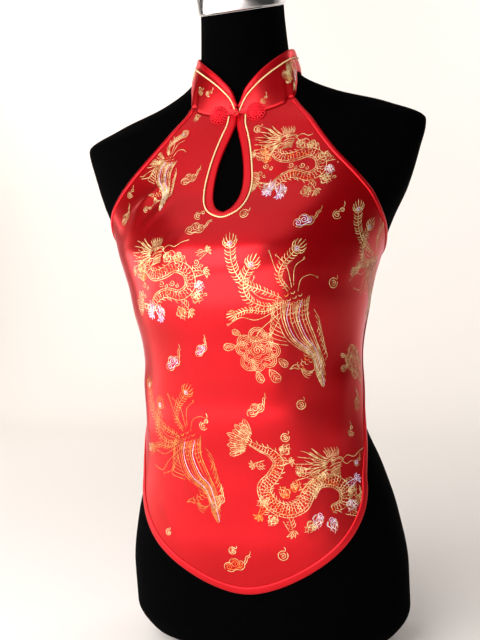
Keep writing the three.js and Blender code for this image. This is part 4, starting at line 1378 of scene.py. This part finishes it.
def blossom(radius, tint):
    """A full round flower: crowded round petals of uneven size, a curled heart and a few leaves."""
    figure = Figure()
    for ring, (reach, count) in enumerate(((radius * 0.66, 8), (radius * 0.42, 6), (radius * 0.2, 4))):
        for k in range(count):
            angle = 2 * math.pi * (k + 0.5 * ring) / count + 0.16 * math.sin(k * 2.7)
            size = radius * (0.36 - 0.08 * ring) * (1 + 0.16 * math.sin(k * 4.1 + ring))
            centre = turned((reach, 0), angle)
            for inset in (0.0, 1.7, 3.3):
                if size - inset > 1.2:
                    figure.arc(centre, size - inset, angle - 1.9, angle + 1.9, 0.42,
                               tint if ring and inset else GOLD)
            figure.line([centre, centre + turned((size * 0.5, 0), angle)], 0.45)
    figure.spiral((0, 0), radius * 0.2, 0, 1.8, 0.6, tint)
    for angle, size in ((-1.1, 1.0), (-1.7, 0.8), (-0.4, 0.75), (2.9, 0.8), (2.3, 0.6)):
        leaf = feather(radius * 0.75 * size, radius * 0.4 * size, 3)
        figure.add(leaf, turned((radius * 0.98, 0), angle), angle + 0.5 * math.sin(angle * 3))
    return figure


BODY_FEATHERS = 19


def phoenix():
    """The phoenix: three eyed plumes above, a feathered body and fans of wing feathers below."""
    figure = Figure()
    for points, barb, eye, tint, spacing in (
        ([(-4, -10), (-22, -2), (-42, 8), (-52, 26), (-55, 46)], 7.0, 3.0, LILAC, 3.5),
        ([(-4, -14), (-22, -17), (-38, -8), (-41, 8), (-33, 24)], 6.6, 3.2, LILAC, 3.5),
        ([(2, -4), (-6, 10), (-3, 22), (6, 32), (12, 38)], 6.2, 3.0, LILAC, 3.5),
        ([(-6, -16), (-22, -22), (-38, -20), (-52, -24)], 4.0, 0.8, ORANGE, 3.0),
    ):
        figure.add(plume(points, barb, eye, tint, spacing))
    for points in (
        [(4, -2), (-8, 16), (-15, 36)], [(-4, -18), (-30, -30), (-46, -27), (-60, -34)],
        [(-4, -22), (-26, -38), (-36, -48), (-50, -45)], [(6, 0), (2, 20), (-8, 32)],
        [(12, -4), (16, 8), (26, 12), (34, 9)], [(-6, -26), (-20, -46), (-34, -52)],
        [(8, 2), (10, 20), (20, 28)], [(-10, -12), (-26, -8), (-34, 2), (-30, 12)],
    ):
        figure.curve(points, 0.5)
        figure.spiral(points[-1], 1.6, 1.2, 1.2, 0.5)
    scallops(figure, [(4, -2), (8, -14), (11, -28), (13, -38)], 12, 8, ORANGE)
    for k in range(BODY_FEATHERS):
        share = k / (BODY_FEATHERS - 1)
        x = -8 + 32 * share
        sway = 2.4 * math.sin(k * 0.9)
        end = (24 + 12 * share, -70 - 34 * math.sin(share * 2.6) * (0.7 + 0.3 * (k % 2)))
        figure.curve([
            (x, -8 - 7 * math.sin(share * 3.1)), (x - 2 + sway, -30), (x + 4 + sway, -50),
            (mix(x, end[0], 0.7), -66), end,
        ], 0.5, LILAC if k in (6, 13) else GOLD)
        if k % 2:
            figure.curve([end, (end[0] - 4, end[1] + 9), (end[0] - 3, end[1] + 18)], 0.5)
    for k in range(7):
        figure.curve([(-10 - k, -12 - 5 * k), (-15 - k, -22 - 5 * k), (-9 + k, -33 - 4 * k)], 0.5)
        figure.curve([(28 + k, -22 - 6 * k), (34 + k, -34 - 6 * k), (30 + k, -46 - 5 * k)], 0.5)
    scallops(figure, [(16, -52), (20, -64), (14, -76), (6, -80)], 5, 9, ORANGE)
    for beak in ([(6, -78), (1, -78), (-4, -82)], [(6, -83), (1, -81), (-4, -82)]):
        figure.curve(beak, 0.7)
    figure.arc((5, -79.6), 0.9, 0, 6.3, 0.6)
    for k in range(5):
        figure.curve([(8, -82), (11 + k * 2, -90 + k), (16 + k * 2.6, -93 + k * 3)], 0.5)
    return figure


def claw(place_at, heading, size=1.0, tint=GOLD):
    """A dragon's foot: a scaled shank, tufts and four hooked talons."""
    figure = Figure()
    figure.curve([(-14, 3.4), (-7, 3.2), (0, 1.6)], 0.6, tint)
    figure.curve([(-14, -3.4), (-7, -2.6), (0, -1.8)], 0.6, tint)
    for k in range(6):
        figure.arc((-12 + k * 2.1, 0.9 - (k % 2) * 1.6), 1.5, -1.3, 1.3, 0.45, tint)
    for angle in (-1.0, -0.35, 0.3, 0.95):
        tip = turned((7.5, -1.2), angle)
        figure.curve([(0, 0), turned((4, 1.8), angle), tip], 0.6, tint)
        figure.curve([(0, -0.8), turned((4, -0.2), angle), tip], 0.5, tint)
    for k in range(3):
        figure.curve([(-9 + 3 * k, 3), (-10 + 3 * k, 6), (-13 + 3 * k, 8)], 0.5)
    whole = Figure()
    whole.add(figure, place_at, heading, size)
    return whole


def flame(place_at, heading, length, tint=LILAC):
    """Flames off a shoulder: curling tongues beside each other."""
    whole = Figure()
    for k in range(5):
        offset = (k - 2) * 1.9
        reach = length * (1 - 0.14 * abs(k - 2))
        sway = 2.6 if k % 2 else -2.4
        for gap in (0, 1.1):
            figure = Figure()
            figure.curve([
                (0, offset + gap), (reach * 0.4, offset + sway + gap), (reach * 0.75, offset - sway * 0.4),
                (reach, offset + sway * 0.4),
            ], 0.5, tint if gap == 0 else GOLD, 4)
            whole.add(figure, place_at, heading)
    whole.spiral(place_at, 3.2, heading, 1.6, 0.55, tint)
    whole.spiral(np.asarray(place_at) + turned((2, 4), heading), 2.2, heading, -1.4, 0.5, tint)
    return whole


def scaled_body(points, widths):
    """A dragon's body: outlines, staggered rows of scales, belly bands and a saw-edged back."""
    figure = Figure()
    line, along, across = spine_frame(points, 16)
    distance = length_along(line)
    total = distance[-1]
    half = monotone(np.linspace(0, 1, len(widths)), widths)(distance / total)
    figure.line(line + across * half[:, None], 0.55)
    figure.line(line - across * half[:, None], 0.55)
    figure.line(line - across * (half * 0.6)[:, None], 0.45)
    for number, position in enumerate(np.arange(1.5, total - 1, 3.1)):
        i = int(np.searchsorted(distance, position))
        heading = math.atan2(along[i][1], along[i][0])
        width = half[i]
        count = 2 + (width > 5.4)
        for k in range(count):
            offset = -0.45 + 1.5 * (k + 0.5 * (number % 2)) / count
            centre = line[i] + across[i] * offset * width
            colour = ORANGE if (number // 4 + k) % 5 == 3 else GOLD
            figure.arc(centre, width * 0.28 + 0.5, heading - 1.35, heading + 1.35, 0.6, colour)
        figure.line([line[i] - across[i] * width * 0.62, line[i] - across[i] * width * 0.98], 0.5)
        if number % 2 == 0:
            root = line[i] + across[i] * width
            tip = root + across[i] * 3.2 - along[i] * 2.0
            figure.curve([root + along[i] * 1.7, tip], 0.6, steps=3)
    return figure


def dragon_head():
    """The dragon's head in profile, facing right: snout, eye, horns, beard and a wild mane."""
    figure = Figure()
    for points, width in (
        ([(-6, 1), (-1, 4.5), (4, 3.6), (8, 5.8), (12, 4.8), (13.4, 2.2), (11, 0.8)], 0.7),
        ([(-5, 0), (-1, 3.2), (4, 2.4), (8, 4.4), (11, 3.8)], 0.45),
        ([(11, 0.8), (6, 0.4), (1, -1.2), (-2, -3.4)], 0.65),
        ([(10.4, -1.8), (5, -2.8), (0, -5.2), (-5, -5.6)], 0.65),
        ([(10.4, -1.8), (9.6, -4), (4, -5.4), (-1, -8)], 0.6),
    ):
        figure.curve(points, width)
    figure.arc((2.2, 1.9), 1.6, 0, 6.3, 0.55)
    figure.arc((2.2, 1.9), 0.5, 0, 6.3, 0.8)
    figure.curve([(-0.6, 4.2), (2.4, 5.8), (5.6, 5)], 0.7)
    figure.spiral((11.2, 3.2), 1.6, 1.2, -1.2, 0.5)
    for k in range(6):
        figure.line([(2.4 + k * 1.5, 0.1), (2.9 + k * 1.5, -1.4)], 0.42)
        figure.line([(2.6 + k * 1.4, -3.2 + k * 0.2), (3 + k * 1.4, -1.9 + k * 0.15)], 0.42)
    for top, bottom in (((-18, 17), (-3, 5)), ((-22, 12.5), (-4, 3.6))):
        middle = mix(np.array(bottom), np.array(top), 0.5)
        figure.curve([bottom, middle + (1, -1.6), top], 0.65)
        figure.curve([(bottom[0] - 1.5, bottom[1]), middle + (-1.2, -1), top], 0.55)
    for k in range(22):
        angle = 2.25 + k * 0.1
        reach = 25 + 8 * math.sin(k * 1.9)
        root = np.array([-4.5 - 1.5 * math.sin(k), 2.0 - k * 0.36])
        tip = root + reach * np.array([math.cos(angle), math.sin(angle) * 0.6])
        sway = np.array([0, 2.4 * math.sin(k * 2.2)])
        figure.curve([root, mix(root, tip, 0.5) + sway, tip], 0.5)
    for k in range(11):
        root, bend = (-3 + k * 1.1, 5.2 + 0.2 * k), (-4 + k * 1.3, 9.5 + (k % 3))
        figure.curve([root, bend, (-7 + k * 1.6, 14 + 2.4 * (k % 2))], 0.5)
    for k in range(8):
        figure.curve([(0 + k * 1.2, -6 + k * 0.5), (-1 + k * 1.4, -10), (-5 + k * 1.7, -14 + k * 0.6)], 0.5)
    figure.curve([(13, 3.6), (19, 6.4), (26, 4), (34, 8), (42, 10)], 0.6)
    figure.curve([(12.4, 1.6), (17, -1.8), (23, 0.6), (28, -2.6)], 0.5)
    return figure


def add_limbs(figure, claws, flames):
    """Claws and flames round a body: place, heading, size or length, and thread of each."""
    for place_at, heading, size, tint in claws:
        figure.add(claw(place_at, heading, size, tint))
    for place_at, heading, length, tint in flames:
        figure.add(flame(place_at, heading, length, tint))


def dragon():
    """The whole dragon, its head at the origin and its tail to the left."""
    figure = Figure()
    figure.add(dragon_head(), size=1.1)
    figure.add(scaled_body([
        (-84, 28), (-72, 21), (-62, 16), (-55, 5), (-62, -9), (-72, -21), (-66, -37), (-50, -46), (-34, -41),
        (-25, -27), (-13, -17), (3, -19), (13, -29), (10, -42), (-2, -46),
    ], [2.0, 3.4, 4.8, 5.8, 6.4, 6.8, 7.0, 7.0, 7.0, 7.0, 6.8, 6.6, 6.4, 5.4, 3.6]))
    figure.add(scaled_body([(-25, -32), (-14, -14), (-7, -8)], [6.0, 5.6, 4.6]))
    feather_fan(figure, (-84, 28), 2.7, 1.4, 9, 24, 5.0)
    figure.curve([(-92, 40), (-87, 47), (-80, 42)], 0.5)
    add_limbs(figure, [
        ((-46, -68), -1.2, 1.0, GOLD), ((-78, -50), -2.1, 0.95, ORANGE), ((28, -20), 0.5, 0.95, LILAC),
        ((26, -56), -0.4, 1.0, GOLD), ((-44, 6), 0.1, 0.8, GOLD), ((-80, 4), 3.3, 0.8, GOLD),
    ], [
        ((-16, -52), -1.9, 17, LILAC), ((-4, -58), -1.3, 15, LILAC), ((16, -44), -0.2, 13, LILAC),
        ((-48, -30), 2.2, 13, ORANGE), ((-40, -24), 1.2, 12, ORANGE), ((-70, -34), -2.6, 12, GOLD),
        ((-50, 16), 0.9, 12, GOLD), ((20, -34), 0.9, 12, GOLD), ((-22, -60), -2.4, 14, GOLD),
        ((-30, -8), 2.2, 12, GOLD), ((-62, -52), -2.2, 12, GOLD),
    ])
    figure.add(coin(), (-46, 32), 0.3)
    figure.add(small_cloud(LILAC), (34, -2), 0.4, 0.9)
    figure.add(cloud(), (30, -40), 0.9, 0.6)
    return figure


def coiled_dragon():
    """A dragon gathered below its head: a tight coil, flames at the shoulder and claws all round."""
    figure = Figure()
    figure.add(dragon_head(), size=0.95)
    figure.add(scaled_body([
        (-8, -5), (-9, -15), (0, -22), (14, -20), (27, -15), (39, -21), (41, -34), (30, -42), (16, -39),
        (3, -43), (-8, -52), (-22, -50),
    ], [3.0, 4.0, 4.8, 5.2, 5.4, 5.4, 5.2, 4.8, 4.4, 3.8, 3.0, 1.8]))
    for start in ((-16, -30), (10, -30), (22, -30), (48, -12), (52, -40), (-22, -38), (30, -4)):
        figure.spiral(start, 3.4, start[0], 1.5, 0.55)
        figure.spiral((start[0] + 5, start[1] - 3), 2.4, start[1], -1.4, 0.5)
    feather_fan(figure, (-22, -50), 2.9, 1.2, 5, 16, 4.4)
    add_limbs(figure, [
        ((-10, -58), -1.9, 0.9, LILAC), ((2, -62), -1.3, 0.85, LILAC), ((38, -58), -0.7, 0.9, GOLD),
        ((56, -22), 0.1, 0.85, GOLD), ((58, -2), 0.6, 0.75, GOLD), ((-30, -16), 3.0, 0.8, GOLD),
    ], [
        ((-18, -14), 2.4, 10, ORANGE), ((-14, -22), 2.8, 10, ORANGE), ((-8, -52), -2.2, 13, LILAC),
        ((4, -54), -1.5, 12, LILAC), ((28, -56), -1.1, 11, GOLD), ((44, -44), -0.3, 11, GOLD),
        ((16, -8), 1.0, 9, GOLD), ((28, -10), 1.2, 9, GOLD), ((48, -34), -0.2, 9, LILAC),
    ])
    return figure


# Where the figures lie: across the cloth from its middle and height, turn and size
FIGURE_PLACES = [
    ("dragon", 100, 226, 0.0, 1.0), ("coiled_dragon", 57, 569, -0.05, 1.0),
    ("coiled_dragon", -72, 453, 0.0, 1.05), ("phoenix", 68, 411, 0.0, 1.0),
    ("phoenix_painted_shade", -60, 268, 0.05, 1.0), ("phoenix", -78, 566, -0.25, 0.62),
    ("phoenix", 196, 452, 0.1, 0.9), ("blossom", 34, 350, 0.0, 1.0), ("blossom", 150, 330, 0.4, 0.8),
    ("cloud", -51, 607, 0.9, 0.55), ("cloud", -46, 533, 0.35, 0.85), ("small_cloud", -91, 502, 0.0, 0.8),
    ("cloud", -126, 496, 0.8, 0.8), ("small_cloud", -24, 490, 0.3, 1.0), ("cloud", -26, 474, 0.1, 0.95),
    ("coin", 23, 488, 0.0, 1.0), ("cloud_lilac", 86, 476, 0.2, 1.0), ("small_cloud", 122, 484, 0.5, 1.2),
    ("coin", 121, 414, 0.2, 1.2), ("cloud", 160, 430, 0.9, 0.8), ("cloud_lilac", -62, 338, 0.5, 1.05),
    ("cloud_lilac", -24, 352, 0.7, 0.75), ("cloud", 27, 288, 0.5, 0.9), ("coin", 73, 291, 0.4, 1.1),
    ("small_cloud", -29, 273, 0.6, 1.1), ("cloud", -22, 189, 0.8, 0.9), ("cloud_orange", -8, 120, 0.2, 1.1),
    ("coin", -10, 137, 0.0, 0.9), ("coin", 44, 133, 0.6, 1.2), ("small_cloud", 130, 258, 1.0, 1.0),
    ("cloud", 146, 286, 1.2, 0.8), ("small_cloud", -120, 525, 0.7, 1.0), ("coin", 25, 584, 0.0, 0.9),
    ("small_cloud", 101, 548, 0.2, 1.1), ("coin", -88, 150, 0.3, 0.8), ("coin", -120, 240, 0.0, 1.0),
    ("cloud", -150, 380, 0.6, 1.0), ("small_cloud", 185, 520, 0.2, 1.0), ("cloud", -190, 420, 0.4, 1.0),
    ("coin", -165, 340, 0.4, 1.0),
]

# Figures on the collar: azimuth, share of its height, turn and size
COLLAR_FIGURES = [
    ("small_cloud", -34, 0.5, 0.3, 0.8), ("coin", -46, 0.45, 0.2, 0.9), ("cloud", -68, 0.4, 0.5, 0.9),
    ("coiled_dragon", 56, 0.62, 0.5, 0.42), ("small_cloud", 70, 0.3, 0.9, 0.9), ("coin", 82, 0.6, 0.2, 0.9),
    ("small_cloud", 30, 0.25, 0.6, 0.8), ("cloud", 100, 0.4, 0.3, 1.1), ("coin", 128, 0.5, 0.3, 1.0),
    ("cloud", 158, 0.4, 0.2, 1.1), ("small_cloud", -104, 0.5, 0.2, 1.1), ("cloud", -140, 0.4, 0.3, 1.1),
    ("coin", -172, 0.5, 0.0, 1.0),
]
FIGURE_LIFT = 0.12
STROKE_STEP = 2.0
RIDGE = 0.1


def retinted(figure, tint):
    """The same figure with its gold strokes in another thread."""
    figure.strokes = [(points, width, tint if old == GOLD else old) for points, width, old in figure.strokes]
    return figure


FIGURE_KINDS = {
    "dragon": dragon(), "coiled_dragon": coiled_dragon(), "phoenix": phoenix(),
    # One phoenix in the darker gold thread: painted shade for the dim reflection of its metal threads.
    "phoenix_painted_shade": retinted(phoenix(), SHADED_GOLD), "blossom": blossom(22, GOLD), "cloud": cloud(),
    "cloud_lilac": cloud(LILAC), "cloud_orange": cloud(ORANGE), "small_cloud": small_cloud(), "coin": coin(),
}


def spaced(points, step):
    """The same line with points no further apart than one step."""
    distance = length_along(points)
    count = max(2, int(math.ceil(distance[-1] / step)) + 1)
    at = np.linspace(0, distance[-1], count)
    return np.stack([np.interp(at, distance, points[:, 0]), np.interp(at, distance, points[:, 1])], 1)


def strips(strokes, step):
    """Turns strokes into strips three points wide: (side, middle, side) rows and their tints."""
    rows, ridges, faces, tints = [], [], [], []
    count = 0
    for points, width, tint in strokes:
        line = spaced(points, step)
        if length_along(line)[-1] < 0.3:
            continue
        along = tangents(line)
        across = np.stack([-along[:, 1], along[:, 0]], 1)
        n = len(line)
        taper = np.minimum(1, 0.35 + np.minimum(np.arange(n), np.arange(n)[::-1]) * 0.65)
        offset = across * (width / 2 * taper)[:, None]
        rows.append(np.stack([line + offset, line, line - offset], 1).reshape(-1, 2))
        ridges.append(np.tile([0.0, RIDGE, 0.0], n))
        for i in range(n - 1):
            a = count + i * 3
            faces.append((a, a + 1, a + 4, a + 3))
            faces.append((a + 1, a + 2, a + 5, a + 4))
            tints.extend([tint, tint])
        count += n * 3
    return np.vstack(rows), np.concatenate(ridges), faces, tints


def lay_figures(name, points, faces, tints, slot):
    thing = new_object(name, points, faces, gold_thread)
    for material in (lilac_thread, orange_thread, shaded_gold_thread):
        thing.data.materials.append(material)
    thing.data.polygons.foreach_set("material_index", tints)
    settle(thing, slot)
    return thing


# Where figures may lie: 6.5 mm clear of the cut edges, and clear of the collar seam and the keyhole
EDGE_MARGIN = math.degrees(6.5 / 130)
CORNER_HEIGHT = 440
HEM_TURN_HEIGHT = 203
LOWEST_STROKE = 100
HIGHEST_STROKE = 616
SEAM_HEIGHT = 603
SEAM_RISE = 15.5
SEAM_AZIMUTH = 53
KEYHOLE_MARGIN = 1.6


def on_panel(points):
    """Whether each place lies on the panel's cloth, inside its bindings."""
    across, height = points[:, 0], points[:, 1]
    azimuth = np.abs(azimuth_of(across, height))
    armhole_heights = half_grid[:CORNER_ROW * FINENESS, -1][::-1]
    upper = monotone(armhole_heights[:, 1], armhole_heights[:, 0])(height)
    side = half_grid[(CORNER_ROW + 1) * FINENESS:, -1][::-1]
    lower = monotone(side[:, 1], side[:, 0])(height)
    hem = half_grid[-1]
    low_hem = monotone(hem[:, 1], hem[:, 0])(height)
    limit = np.where(height > CORNER_HEIGHT, upper, np.where(height > HEM_TURN_HEIGHT, lower, low_hem))
    inside = (azimuth < limit - EDGE_MARGIN) & (height > LOWEST_STROKE) & (height < HIGHEST_STROKE)
    drop = np.maximum(0, 1 - (azimuth / SEAM_AZIMUTH) ** HEM_ROUNDNESS) ** (1 / HEM_ROUNDNESS)
    inside &= height < SEAM_HEIGHT + SEAM_RISE * (1 - drop) - 1
    hole = np.interp(height, KEYHOLE_ROWS["outer_height"][::-1], KEYHOLE_ROWS["outer"][::-1])
    in_hole = (height > KEYHOLE_BOTTOM - 2) & (np.abs(across) < hole + KEYHOLE_MARGIN)
    return inside & ~in_hole


def keep_inside(points, ridges, faces, tints, inside):
    kept = [(face, tint) for face, tint in zip(faces, tints) if all(inside[list(face)])]
    used = sorted({index for face, _ in kept for index in face})
    renumber = {index: k for k, index in enumerate(used)}
    new_faces = [tuple(renumber[index] for index in face) for face, _ in kept]
    return points[used], ridges[used], new_faces, [tint for _, tint in kept]


def build_figures():
    whole = Figure()
    for kind, across, height, turn, size in FIGURE_PLACES:
        whole.add(FIGURE_KINDS[kind], (across, height), turn, size)
    points, ridges, faces, tints = strips(whole.strokes, STROKE_STEP)
    inside = on_panel(points)
    points, ridges, faces, tints = keep_inside(points, ridges, faces, tints, inside)
    azimuth = azimuth_of(points[:, 0], points[:, 1])
    laid = cloth_at(azimuth, points[:, 1], CLOTH_THICKNESS + FIGURE_LIFT + ridges)
    lay_figures("woven_figures", laid, faces, tints, "red_brocade")


def build_collar_figures():
    shares = np.linspace(0, 1, 41)
    outer = np.stack([collar_at(share, CLOTH_THICKNESS + FIGURE_LIFT)[0] for share in shares])
    normals = np.stack([collar_at(share, 0.0)[1] for share in shares])
    length = collar_at(0.5, 0.0)[2]
    along = length_along(collar_at(0.5, 0.0)[0])
    azimuths = COLLAR_COLUMNS[:, 0]
    turned = np.where(azimuths < 0, azimuths + 360, azimuths)
    whole = Figure()
    for kind, azimuth, share, turn, size in COLLAR_FIGURES:
        position = np.interp(azimuth % 360, turned, along)
        tall = np.interp(azimuth % 360, turned, length)
        whole.add(FIGURE_KINDS[kind], (position, share * tall), turn, size)
    points, ridges, faces, tints = strips(whole.strokes, STROKE_STEP)
    tall = np.interp(points[:, 0], along, length)
    top = tall - np.minimum(COLLAR_BAND, LARGEST_BAND_SHARE * tall) - 2.2
    inside = (points[:, 1] > 0.8) & (points[:, 1] < top)
    points, ridges, faces, tints = keep_inside(points, ridges, faces, tints, inside)
    tall = np.interp(points[:, 0], along, length)
    column = np.interp(points[:, 0], along, np.arange(len(along)))
    row = np.clip(points[:, 1] / tall, 0, 1) * (len(shares) - 1)

    def read(grid):
        i = np.clip(column.astype(int), 0, grid.shape[1] - 2)
        j = np.clip(row.astype(int), 0, grid.shape[0] - 2)
        u = (column - i)[:, None]
        v = (row - j)[:, None]
        return mix(mix(grid[j, i], grid[j, i + 1], u), mix(grid[j + 1, i], grid[j + 1, i + 1], u), v)

    laid = read(outer) + read(normals) * ridges[:, None]
    lay_figures("collar_figures", laid, faces, tints, "red_brocade")


# The room: a pale floor that bends up into a wall, soft lights and the camera
FLOOR_FRONT = -3000
WALL_REACH = 4000
WALL_DISTANCE = 2300
WALL_TOP = 3200
WALL_BEND = 900
FLOOR_LEVEL = -0.5


def build_stage():
    start = WALL_DISTANCE - WALL_BEND
    profile = [(FLOOR_FRONT, FLOOR_LEVEL), (start, FLOOR_LEVEL)]
    for angle in np.linspace(0.1, 1.57, 12):
        rise = WALL_BEND * (1 - math.cos(angle)) + FLOOR_LEVEL
        profile.append((start + WALL_BEND * math.sin(angle), rise))
    profile.append((WALL_DISTANCE, WALL_TOP))
    points = [(x, y, z) for y, z in profile for x in (-WALL_REACH, WALL_REACH)]
    faces = [(2 * i, 2 * i + 1, 2 * i + 3, 2 * i + 2) for i in range(len(profile) - 1)]
    new_object("backdrop", np.array(points), faces, plaster("pale_wall", "e9e4df"))


def add_area(name, location, target, size, power, code):
    lamp = bpy.data.lights.new(name, "AREA")
    lamp.shape = "RECTANGLE"
    lamp.size, lamp.size_y = size
    lamp.energy = power
    lamp.color = linear(code)[:3]
    thing = link(name, lamp)
    aim = np.asarray(target, dtype=float) - np.asarray(location)
    thing.location = location
    thing.rotation_euler = look_rotation(aim)


def look_rotation(aim, roll=0.0):
    """Rotation that points an object's -Z along a direction, +Y up, then rolls it."""
    forward = Vector(aim).normalized()
    right = forward.cross(Vector((0, 0, 1))).normalized()
    up = right.cross(forward)
    turned_right = right * math.cos(roll) - up * math.sin(roll)
    turned_up = up * math.cos(roll) + right * math.sin(roll)
    matrix = Matrix((turned_right, turned_up, -forward)).transposed()
    return matrix.to_euler()


# Name, place, aim, width and height, power and colour of each light
LIGHTS = [
    ("window_front", (-0.75, -2.3, 0.38), (-0.75, 0, 0.38), (4.2, 0.95), 76, "fff6f4"),
    ("window_left", (-2.1, -0.7, 0.45), (0, -0.7, 0.45), (2.8, 0.95), 40, "fff6f4"),
    ("floor_light", (-0.6, -1.15, 1.0), (-0.6, -1.15, 0), (1.4, 0.9), 30, "ffffff"),
    ("ceiling", (-0.3, -0.5, 2.0), (-0.3, -0.45, 0), (1.6, 1.2), 7, "ffffff"),
    ("wall_wash_left", (-1.5, 1.2, 1.8), (-0.6, 2.3, 0.6), (1.2, 1.2), 20, "fffaf4"),
    ("wall_wash_right", (1.3, 1.2, 1.8), (0.4, 2.3, 0.6), (1.2, 1.2), 20, "ffffff"),
]
ROOM_GLOW = 0.06


def build_lights():
    for light in LIGHTS:
        add_area(*light)
    world = bpy.data.worlds.new("room")
    world.use_nodes = True
    set_values(world.node_tree.nodes["Background"], {"Color": linear("f4f1ee"), "Strength": ROOM_GLOW})
    bpy.context.scene.world = world
    bpy.context.scene.view_settings.view_transform = "Standard"


def build_camera():
    turn, pitch = CAMERA_AZIMUTH, CAMERA_PITCH
    camera = bpy.data.cameras.new("camera")
    camera.sensor_width = SENSOR_MM
    camera.lens = FOCAL_PIXELS * SENSOR_MM / PICTURE_HEIGHT
    camera.clip_end = 50
    thing = link("camera", camera)
    thing.location = (
        CAMERA_DISTANCE * math.sin(turn) + CAMERA_SIDE * math.cos(turn),
        -CAMERA_DISTANCE * math.cos(turn) + CAMERA_SIDE * math.sin(turn),
        CAMERA_HEIGHT,
    )
    aim = (-math.sin(turn) * math.cos(pitch), math.cos(turn) * math.cos(pitch), math.sin(pitch))
    thing.rotation_euler = look_rotation(aim, CAMERA_ROLL)
    bpy.context.scene.camera = thing


build_camera()
build_form()
build_cap()
panel_piece = build_panel()
build_edge_bindings()
build_keyhole()
collar_piece = build_collar()
build_frog()
build_ties()
build_stitches()
build_figures()
build_collar_figures()
build_stage()
build_lights()
